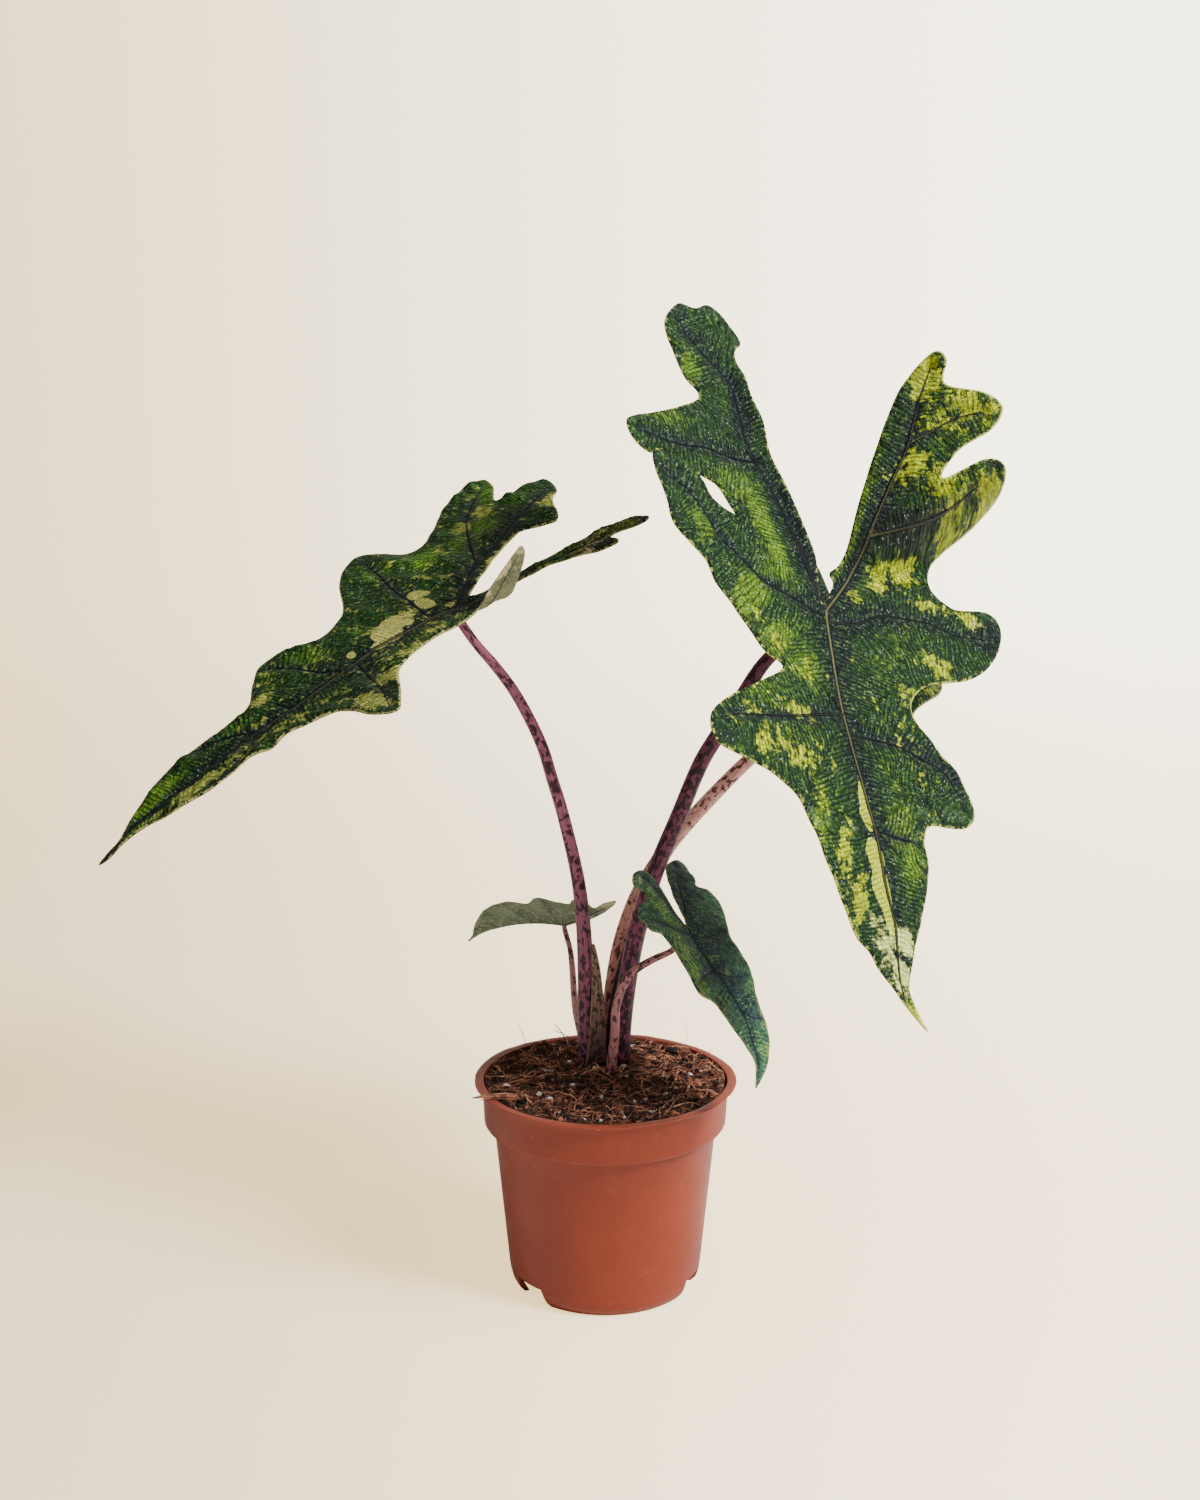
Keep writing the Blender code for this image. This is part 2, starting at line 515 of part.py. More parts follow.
def make_pot():
    profile = [
        (0.0, 0.0), (PAD_R, 0.0), (PAD_R, FLOOR_Z),
        (pot_wall(FLOOR_Z) - WALL - 1.4, FLOOR_Z), (pot_wall(6.0) - WALL - 1.2, 6.0),
        (FOOT_R - WALL - 0.8, 0.0), (FOOT_R - 0.5, 0.0), (FOOT_R + 0.5, 0.5),
        (42.2, 2.2), (43.5, 5.0), (BODY_LOW_R, 10.0),
        (BODY_TOP_R, COLLAR_Z - 2.2), (BODY_TOP_R + 0.6, COLLAR_Z - 1.0),
        (COLLAR_LOW_R - 0.9, COLLAR_Z - 0.5), (COLLAR_LOW_R, COLLAR_Z + 0.6),
        (COLLAR_R, POT_H - LIP_T), (RIM_R - 0.4, POT_H - LIP_T), (RIM_R, POT_H - LIP_T / 2),
        (RIM_R - 0.4, POT_H), (COLLAR_R - WALL + 0.3, POT_H),
        (COLLAR_R - WALL - 0.1, POT_H - 0.6), (COLLAR_LOW_R - WALL, COLLAR_Z + 1.0),
        (BODY_TOP_R - WALL, COLLAR_Z - 1.4), (BODY_LOW_R - WALL, FLOOR_Z + WALL + 1.5),
        (BODY_LOW_R - WALL - 1.5, FLOOR_Z + WALL), (0.0, FLOOR_Z + WALL),
    ]
    pot = revolve("pot", profile, POT_SEG)
    for i, deg in enumerate(NOTCH_AT):
        half = math.radians(NOTCH_DEG / 2)
        mid = math.radians(deg)
        verts = []
        for z, grow in ((-1.0, 0.045), (NOTCH_H, -0.02)):
            for r, a in ((30.0, mid - half - grow), (52.0, mid - half - grow),
                         (52.0, mid + half + grow), (30.0, mid + half + grow)):
                verts.append((r * math.cos(a), r * math.sin(a), z))
        faces = [(3, 2, 1, 0), (4, 5, 6, 7), (0, 1, 5, 4), (1, 2, 6, 5), (2, 3, 7, 6), (3, 0, 4, 7)]
        cutter = add_mesh("notch_%d" % i, verts, faces, smooth=False)
        cut(pot, cutter)
    for i in range(4):
        a = math.radians(45 + 90 * i)
        drain = [(0.0, FLOOR_Z - 2.0), (DRAIN_R, FLOOR_Z - 2.0), (DRAIN_R, FLOOR_Z + WALL + 2.0),
                 (0.0, FLOOR_Z + WALL + 2.0)]
        cutter = revolve("drain_%d" % i, drain, 20, (26.0 * math.cos(a), 26.0 * math.sin(a)))
        cut(pot, cutter)
    paint(pot, "pot", (0.36, 0.10, 0.05), 0.42, 0.1)
    return pot


def soil_height(x, y):
    """Uneven top of the soil, mounded round the crown."""
    r = math.hypot(x - CROWN_X, y - CROWN_Y)
    wave = math.sin(0.19 * x + 1.3) * math.cos(0.16 * y - 0.4) + 0.6 * math.sin(0.31 * y + 0.11 * x)
    return SOIL_EDGE_Z + SOIL_MOUND * math.exp(-(r / 27.0) ** 2) + 0.55 * wave


def make_soil():
    seg = 48
    inner = []
    low = FLOOR_Z + WALL + GAP
    for z in (low, low + 1.9, COLLAR_Z - 1.6, COLLAR_Z + 1.2, SOIL_EDGE_Z):
        if z < low + 1.0:
            r = BODY_LOW_R - WALL - 1.5 - GAP
        elif z < COLLAR_Z - 1.0:
            t = (z - FLOOR_Z - WALL - 1.5) / (COLLAR_Z - 1.4 - FLOOR_Z - WALL - 1.5)
            r = BODY_LOW_R + (BODY_TOP_R - BODY_LOW_R) * max(t, 0.0) - WALL - GAP - 0.15
        elif z < COLLAR_Z + 2.0:
            r = COLLAR_LOW_R - WALL - GAP - 0.1
        else:
            r = COLLAR_R - WALL - GAP - 0.4
        inner.append((r, z))
    verts = [(0.0, 0.0, low)]
    rings = []
    for r, z in inner:
        ring = []
        for k in range(seg):
            a = 2 * math.pi * k / seg
            x, y = r * math.cos(a), r * math.sin(a)
            ring.append(len(verts))
            verts.append((x, y, soil_height(x, y) if z == SOIL_EDGE_Z else z))
        rings.append(ring)
    edge_r = inner[-1][0]
    for t in (0.86, 0.72, 0.58, 0.46):
        ring = []
        for k in range(seg):
            a = 2 * math.pi * k / seg
            x = edge_r * t * math.cos(a) + CROWN_X * (1 - t)
            y = edge_r * t * math.sin(a) + CROWN_Y * (1 - t)
            ring.append(len(verts))
            verts.append((x, y, soil_height(x, y)))
        rings.append(ring)
    hole_r = CROWN_R + GAP
    for z in (None, 58.0):
        ring = []
        for k in range(seg):
            a = 2 * math.pi * k / seg
            x = CROWN_X + hole_r * math.cos(a)
            y = CROWN_Y + hole_r * math.sin(a)
            ring.append(len(verts))
            verts.append((x, y, soil_height(x, y) if z is None else z))
        rings.append(ring)
    last = len(verts)
    verts.append((CROWN_X, CROWN_Y, 58.0))
    faces = []
    for k in range(seg):
        n = (k + 1) % seg
        faces.append((0, rings[0][n], rings[0][k]))
        faces.append((last, rings[-1][k], rings[-1][n]))
    for j, (a, b) in enumerate(zip(rings, rings[1:])):
        for k in range(seg):
            n = (k + 1) % seg
            if j >= 4:
                faces.append((a[k], a[n], b[n]))
                faces.append((a[k], b[n], b[k]))
            else:
                faces.append((a[k], a[n], b[n], b[k]))
    soil = add_mesh("soil", verts, faces)
    soil.data.set_sharp_from_angle(angle=math.radians(40))
    paint(soil, "soil", (0.05, 0.03, 0.02), 0.95)
    return soil


def make_crown():
    profile = [(0.0, 58.6), (6.0, 59.2), (11.5, 63.0), (15.4, 70.0), (CROWN_R, 78.0),
               (CROWN_R, CROWN_TOP - 7.0), (CROWN_R - 0.5, CROWN_TOP - 2.5),
               (CROWN_R - 2.2, CROWN_TOP - 0.8), (CROWN_R - 6.0, CROWN_TOP), (0.0, CROWN_TOP)]
    crown = revolve("crown", profile, 36, (CROWN_X, CROWN_Y))
    for name, stem in STEMS.items():
        x, y, _ = stem["points"][0]
        r = stem["radii"][0] + GAP
        hole = [(0.0, SOCKET_Z), (r, SOCKET_Z), (r, CROWN_TOP + 3.0), (0.0, CROWN_TOP + 3.0)]
        cut(crown, revolve("socket_" + name[-1], hole, 20, (x, y)))
    paint(crown, "crown", (0.10, 0.05, 0.035), 0.85)
    return crown


def main():
    clear_scene()
    make_pot()
    make_soil()
    make_crown()
    blades = {"leaf_a": (0.06, 0.17, 0.05), "leaf_b": (0.05, 0.14, 0.04), "leaf_c": (0.03, 0.09, 0.05),
              "leaf_d": (0.15, 0.20, 0.13), "leaf_e": (0.14, 0.18, 0.05)}
    for name, leaf in LEAVES.items():
        make_leaf(name, leaf, blades[name])
    stems = {"petiole_a": (0.10, 0.03, 0.05), "petiole_b": (0.30, 0.09, 0.14),
             "petiole_c": (0.34, 0.15, 0.13), "petiole_d": (0.30, 0.12, 0.13),
             "petiole_e": (0.45, 0.20, 0.16)}
    for name, stem in STEMS.items():
        make_stem(name, stem, stems[name])
    make_sheath("sheath_b", SHEATHS["sheath_b"], (0.16, 0.09, 0.05))
    make_sheath("sheath_e", SHEATHS["sheath_e"], (0.09, 0.04, 0.03))


main()
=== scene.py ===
import math

import bpy
import numpy as np
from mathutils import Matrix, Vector
from mathutils.geometry import delaunay_2d_cdt


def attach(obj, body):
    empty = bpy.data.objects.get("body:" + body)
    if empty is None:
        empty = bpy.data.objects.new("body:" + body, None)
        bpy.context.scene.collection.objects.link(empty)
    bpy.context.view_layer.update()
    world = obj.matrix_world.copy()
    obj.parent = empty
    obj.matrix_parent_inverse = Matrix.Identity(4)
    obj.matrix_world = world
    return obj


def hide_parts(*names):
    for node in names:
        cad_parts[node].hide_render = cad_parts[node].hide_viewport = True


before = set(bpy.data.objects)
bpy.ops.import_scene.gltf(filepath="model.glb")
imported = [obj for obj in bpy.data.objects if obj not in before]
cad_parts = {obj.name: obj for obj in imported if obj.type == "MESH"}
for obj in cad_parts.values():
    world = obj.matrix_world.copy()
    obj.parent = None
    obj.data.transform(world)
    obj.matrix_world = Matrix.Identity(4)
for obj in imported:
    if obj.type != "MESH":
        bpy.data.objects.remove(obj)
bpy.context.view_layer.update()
mm = 0.001
fullTurn = 2 * math.pi
chunk = 4000    # points measured at a time, to save memory


# Short calls that add a node to a tree, wire it and give back its output
class Wires:
    def __init__(self, tree):
        self.tree = tree

    # Links an output, or sets a constant, with full alpha for a colour
    def put(self, socket, value):
        if isinstance(value, bpy.types.NodeSocket):
            self.tree.links.new(value, socket)
        else:
            socket.default_value = (*value, 1) if socket.type == "RGBA" else value

    def add(self, kind, inputs, **options):
        node = self.tree.nodes.new("ShaderNode" + kind)
        for key, value in options.items():
            setattr(node, key, value)
        for key, value in inputs.items():
            self.put(node.inputs[key], value)
        return node

    def math(self, operation, *values):
        return self.add("Math", dict(enumerate(values)), operation=operation).outputs[0]

    def times(self, a, b):
        return self.math("MULTIPLY", a, b)

    def plus(self, a, b):
        return self.math("ADD", a, b)

    def less(self, a, b):
        return self.math("SUBTRACT", a, b)

    def most(self, a, b):
        return self.math("MAXIMUM", a, b)

    # a times b, plus c
    def scaleAdd(self, a, b, c):
        return self.math("MULTIPLY_ADD", a, b, c)

    # The value's distance from a half, times gain, plus base
    def sway(self, value, gain, base):
        return self.scaleAdd(self.less(value, 0.5), gain, base)

    # Smooth step from toLow to toHigh as the value goes from low to high
    def ramp(self, value, low, high, toLow=0.0, toHigh=1.0):
        numbers = dict(enumerate((value, low, high, toLow, toHigh)))
        return self.add("MapRange", numbers, interpolation_type="SMOOTHSTEP").outputs[0]

    def mix(self, factor, a, b, blend="MIX"):
        return self.add("Mix", {0: factor, 6: a, 7: b}, data_type="RGBA", blend_type=blend).outputs[2]

    def noise(self, vector, scale, detail=2.0, rough=0.5, warp=0.0):
        return self.add("TexNoise", {"Vector": vector, "Scale": scale, "Detail": detail,
                                     "Roughness": rough, "Distortion": warp}).outputs[0]

    def cells(self, vector, scale, feature="F1", output=0):
        return self.add("TexVoronoi", {"Vector": vector, "Scale": scale}, feature=feature).outputs[output]

    def scaled(self, vector, by):
        return self.add("Mapping", {"Vector": vector, "Scale": by}).outputs[0]

    # The vector moved by the value times amount along each axis
    def shift(self, vector, value, amount):
        inputs = {0: value, 1: (amount, amount, amount), 2: vector}
        return self.add("VectorMath", inputs, operation="MULTIPLY_ADD").outputs[0]

    def split(self, vector):
        return self.add("SeparateXYZ", {0: vector}).outputs

    def place(self):
        return self.add("TexCoord", {}).outputs["Object"]

    def attribute(self, name, output="Fac"):
        return self.add("Attribute", {}, attribute_name=name).outputs[output]

    def bump(self, height, strength, distance):
        return self.add("Bump", {"Height": height, "Strength": strength, "Distance": distance}).outputs[0]

    def group(self, group, values):
        return self.add("Group", values, node_tree=group).outputs

    # Fills the sockets of the material's own shader
    def shade(self, values):
        for label, value in values.items():
            self.put(self.tree.nodes["Principled BSDF"].inputs[label], value)


def newMaterial(name):
    mat = bpy.data.materials.new(name)
    mat.use_nodes = True
    return mat, Wires(mat.node_tree)


# Starts a shared node group with input sockets by kind
def openGroup(name, inputs):
    group = bpy.data.node_groups.new(name, "ShaderNodeTree")
    for kind, labels in inputs.items():
        for label in labels:
            group.interface.new_socket(name=label, in_out="INPUT", socket_type="NodeSocket" + kind)
    return Wires(group), group.nodes.new("NodeGroupInput").outputs


# Gives a shared node group its outputs
def closeGroup(w, outputs):
    for label in outputs:
        kind = "NodeSocketColor" if label == "Color" else "NodeSocketFloat"
        w.tree.interface.new_socket(name=label, in_out="OUTPUT", socket_type=kind)
    end = w.tree.nodes.new("NodeGroupOutput")
    for label, value in outputs.items():
        w.put(end.inputs[label], value)
    return w.tree


def meshObject(name, verts, faces, smooth=True):
    mesh = bpy.data.meshes.new(name)
    mesh.from_pydata((np.asarray(verts) * mm).tolist(), [], [list(map(int, f)) for f in faces])
    mesh.update()
    mesh.polygons.foreach_set("use_smooth", np.full(len(mesh.polygons), smooth))
    obj = bpy.data.objects.new(name, mesh)
    bpy.context.scene.collection.objects.link(obj)
    return obj


# Gives a piece its materials and its place in the part
def dress(obj, node, *materials):
    for mat in materials:
        obj.data.materials.append(mat)
    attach(obj, "root")
    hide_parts(node)
    print(obj.name, "made,", len(obj.data.polygons), "faces")


def addNumbers(obj, name, values):
    values = np.asarray(values, dtype=np.float32)
    kind, key = ("FLOAT", "value") if values.ndim == 1 else ("FLOAT_VECTOR", "vector")
    obj.data.attributes.new(name, kind, "POINT").data.foreach_set(key, values.ravel())


# Quads of a rows x cols grid, closed round the columns when wrap is true
def gridFaces(rows, cols, wrap):
    j = np.arange(rows - 1)[:, None]
    i = np.arange(cols if wrap else cols - 1)[None, :]
    n = (i + 1) % cols
    quads = np.stack([j * cols + i, j * cols + n, (j + 1) * cols + n, (j + 1) * cols + i], -1)
    return quads.reshape(-1, 4)


# Quads between closed rings, and a fan to the end point after them at each end
def ringFaces(rows, seg):
    count = rows * seg
    k = np.arange(seg)
    ahead = (k + 1) % seg
    first = np.stack([np.full(seg, count), ahead, k], -1)
    last = np.stack([count - seg + k, count - seg + ahead, np.full(seg, count + 1)], -1)
    return gridFaces(rows, seg, True), np.concatenate([first, last])


# A closed body of rings with one end point at each end
def ringBody(name, rings, first, last):
    quads, fans = ringFaces(*rings.shape[:2])
    verts = np.concatenate([rings.reshape(-1, 3), [first], [last]])
    return meshObject(name, verts, quads.tolist() + fans.tolist())


# The same faces once more for each of n copies of a mesh with each points
def repeatFaces(faces, n, each):
    return (faces[None] + (np.arange(n) * each)[:, None, None]).reshape(-1, faces.shape[1]).tolist()


# Catmull-Rom curve through the points: each span blends its four nearest points by cubic weights
def smoothLine(points, closed, steps=10):
    pts = np.array(points, float)
    if closed:
        a, b, c, d = np.roll(pts, 1, 0), pts, np.roll(pts, -1, 0), np.roll(pts, -2, 0)
    else:
        ext = np.vstack([pts[:1], pts, pts[-1:]])
        a, b, c, d = ext[:-3], ext[1:-2], ext[2:-1], ext[3:]
    t = (np.arange(steps) / steps)[None, :, None]
    a, b, c, d = (p[:, None, :] for p in (a, b, c, d))
    line = 0.5 * (2 * b + (c - a) * t + (2 * a - 5 * b + 4 * c - d) * t ** 2
                  + (3 * b - a - 3 * c + d) * t ** 3)
    line = line.reshape(-1, pts.shape[1])
    return line if closed else np.vstack([line, pts[-1:]])


# Length run at each point of a line
def runLength(line):
    return np.concatenate([[0.0], np.cumsum(np.linalg.norm(np.diff(line, axis=0), axis=1))])


# The smooth curve through the points, in steps of equal length
def evenLine(points, step, closed=False):
    line = smoothLine(points, closed)
    if closed:
        line = np.vstack([line, line[:1]])
    length = runLength(line)
    at = np.linspace(0.0, length[-1], max(int(round(length[-1] / step)), 3) + 1)
    if closed:
        at = at[:-1]
    return np.stack([np.interp(at, length, line[:, k]) for k in range(line.shape[1])], axis=1)


# Soft uneven value from five crossed waves, about -1 to 1
def wavy(x, y, size, seed):
    draw = np.random.default_rng(seed)
    total = 0.0
    for k in range(5):
        turn = draw.uniform(0, fullTurn)
        rate = fullTurn / (size * draw.uniform(0.6, 1.7))
        total = total + np.sin((x * math.cos(turn) + y * math.sin(turn)) * rate + draw.uniform(0, 6.28))
    return total / 2.6


# Camera and room
view = {
    "place": (-2.3, -905.0, 442.3),     # mm
    "pitch": 11.9,                      # degrees below level
    "lens": 50.0, "sensor": 36.0,
    "world": (1.0, 0.98, 0.95), "worldStrength": 0.16,
}
lights = {      # place, aim and size in metres, power in watts
    "key": {"place": (1.62, -1.01, 1.93), "aim": (0, 0, 0.2), "size": 0.85, "power": 140,
            "tint": (1.0, 0.975, 0.94)},
    "top": {"place": (-0.25, -0.35, 2.5), "aim": (0, 0, 0.1), "size": 1.5, "power": 9,
            "tint": (1.0, 0.985, 0.96)},
    "fill": {"place": (-1.6, -1.8, 1.9), "aim": (0, 0, 0.2), "size": 1.6, "power": 4,
             "tint": (0.96, 0.98, 1.0)},
}
backdrop = {    # metres
    "half": 4.0, "front": -3.0, "bendAt": 1.6, "bend": 0.9, "top": 4.5, "eye": 0.9, "spread": 0.33,
    "reach": (-0.1, 2.2),
    # Painted light: the camera alone sees the paper a little darker, plus a painted glow that grows rightward
    # and toward the back as if from the key light, which also lifts the floor's shadows
    "paper": (0.80, 0.77, 0.72), "shown": (0.86, 0.86, 0.86),   # the camera sees the paper a little darker
    "nearLeft": (1.22, 0.86, 0.26), "nearRight": (2.80, 2.10, 1.08),    # and with a glow that grows rightward
    "farLeft": (2.04, 1.46, 0.66), "farRight": (4.75, 4.40, 3.22),
}


def addCamera():
    data = bpy.data.cameras.new("camera")
    data.lens = view["lens"]
    data.sensor_width = view["sensor"]
    camera = bpy.data.objects.new("camera", data)
    camera.location = [c * mm for c in view["place"]]
    camera.rotation_euler = (math.radians(90 - view["pitch"]), 0, 0)
    bpy.context.scene.collection.objects.link(camera)
    bpy.context.scene.camera = camera


def addLights():
    for name, lamp in lights.items():
        data = bpy.data.lights.new(name, "AREA")
        data.shape = "DISK"
        data.size = lamp["size"]
        data.energy = lamp["power"]
        data.color = lamp["tint"]
        light = bpy.data.objects.new(name, data)
        light.location = lamp["place"]
        ray = Vector(lamp["aim"]) - Vector(lamp["place"])
        light.rotation_euler = ray.to_track_quat("-Z", "Y").to_euler()
        bpy.context.scene.collection.objects.link(light)
    world = bpy.data.worlds.new("room")
    world.use_nodes = True
    sky = world.node_tree.nodes["Background"].inputs
    sky[0].default_value = (*view["world"], 1)
    sky[1].default_value = view["worldStrength"]
    bpy.context.scene.world = world


# Flat floor that curves up into a wall: height is zero, then a quarter circle, then straight up
def addBackdrop():
    b = backdrop
    across = np.linspace(-b["half"], b["half"], 9)
    turn = np.linspace(0, math.pi / 2, 17)
    curve = b["bendAt"] + b["bend"] * np.sin(turn)
    along = np.concatenate([[b["front"], 0.0], curve, [b["bendAt"] + b["bend"]]])
    high = np.concatenate([[0.0, 0.0], b["bend"] * (1 - np.cos(turn)), [b["top"]]])
    verts = np.stack(np.broadcast_arrays(across[None, :], along[:, None], high[:, None]), -1).reshape(-1, 3)
    obj = meshObject("backdrop", verts / mm, gridFaces(len(along), len(across), False))
    mat, w = newMaterial("backdropPaper")
    x, y, z = w.split(w.place())
    # Painted light: an emission that only camera rays see, growing rightward and toward the back like the key
    # light's pool and lifting the shadows on the floor
    right = w.ramp(w.math("DIVIDE", x, w.plus(y, b["eye"])), -b["spread"], b["spread"])
    near, far = (w.mix(right, b[row + "Left"], b[row + "Right"]) for row in ("near", "far"))
    paintedGlow = w.mix(w.ramp(w.plus(y, z), *b["reach"]), near, far)
    direct = w.add("LightPath", {}).outputs["Is Camera Ray"]
    w.shade({"Base Color": w.mix(direct, b["paper"], w.mix(1.0, b["paper"], b["shown"], "MULTIPLY")),
             "Emission Color": w.mix(direct, (0, 0, 0), paintedGlow), "Emission Strength": 1.0,
             "Roughness": 0.9, "Specular IOR Level": 0.15})
    obj.data.materials.append(mat)


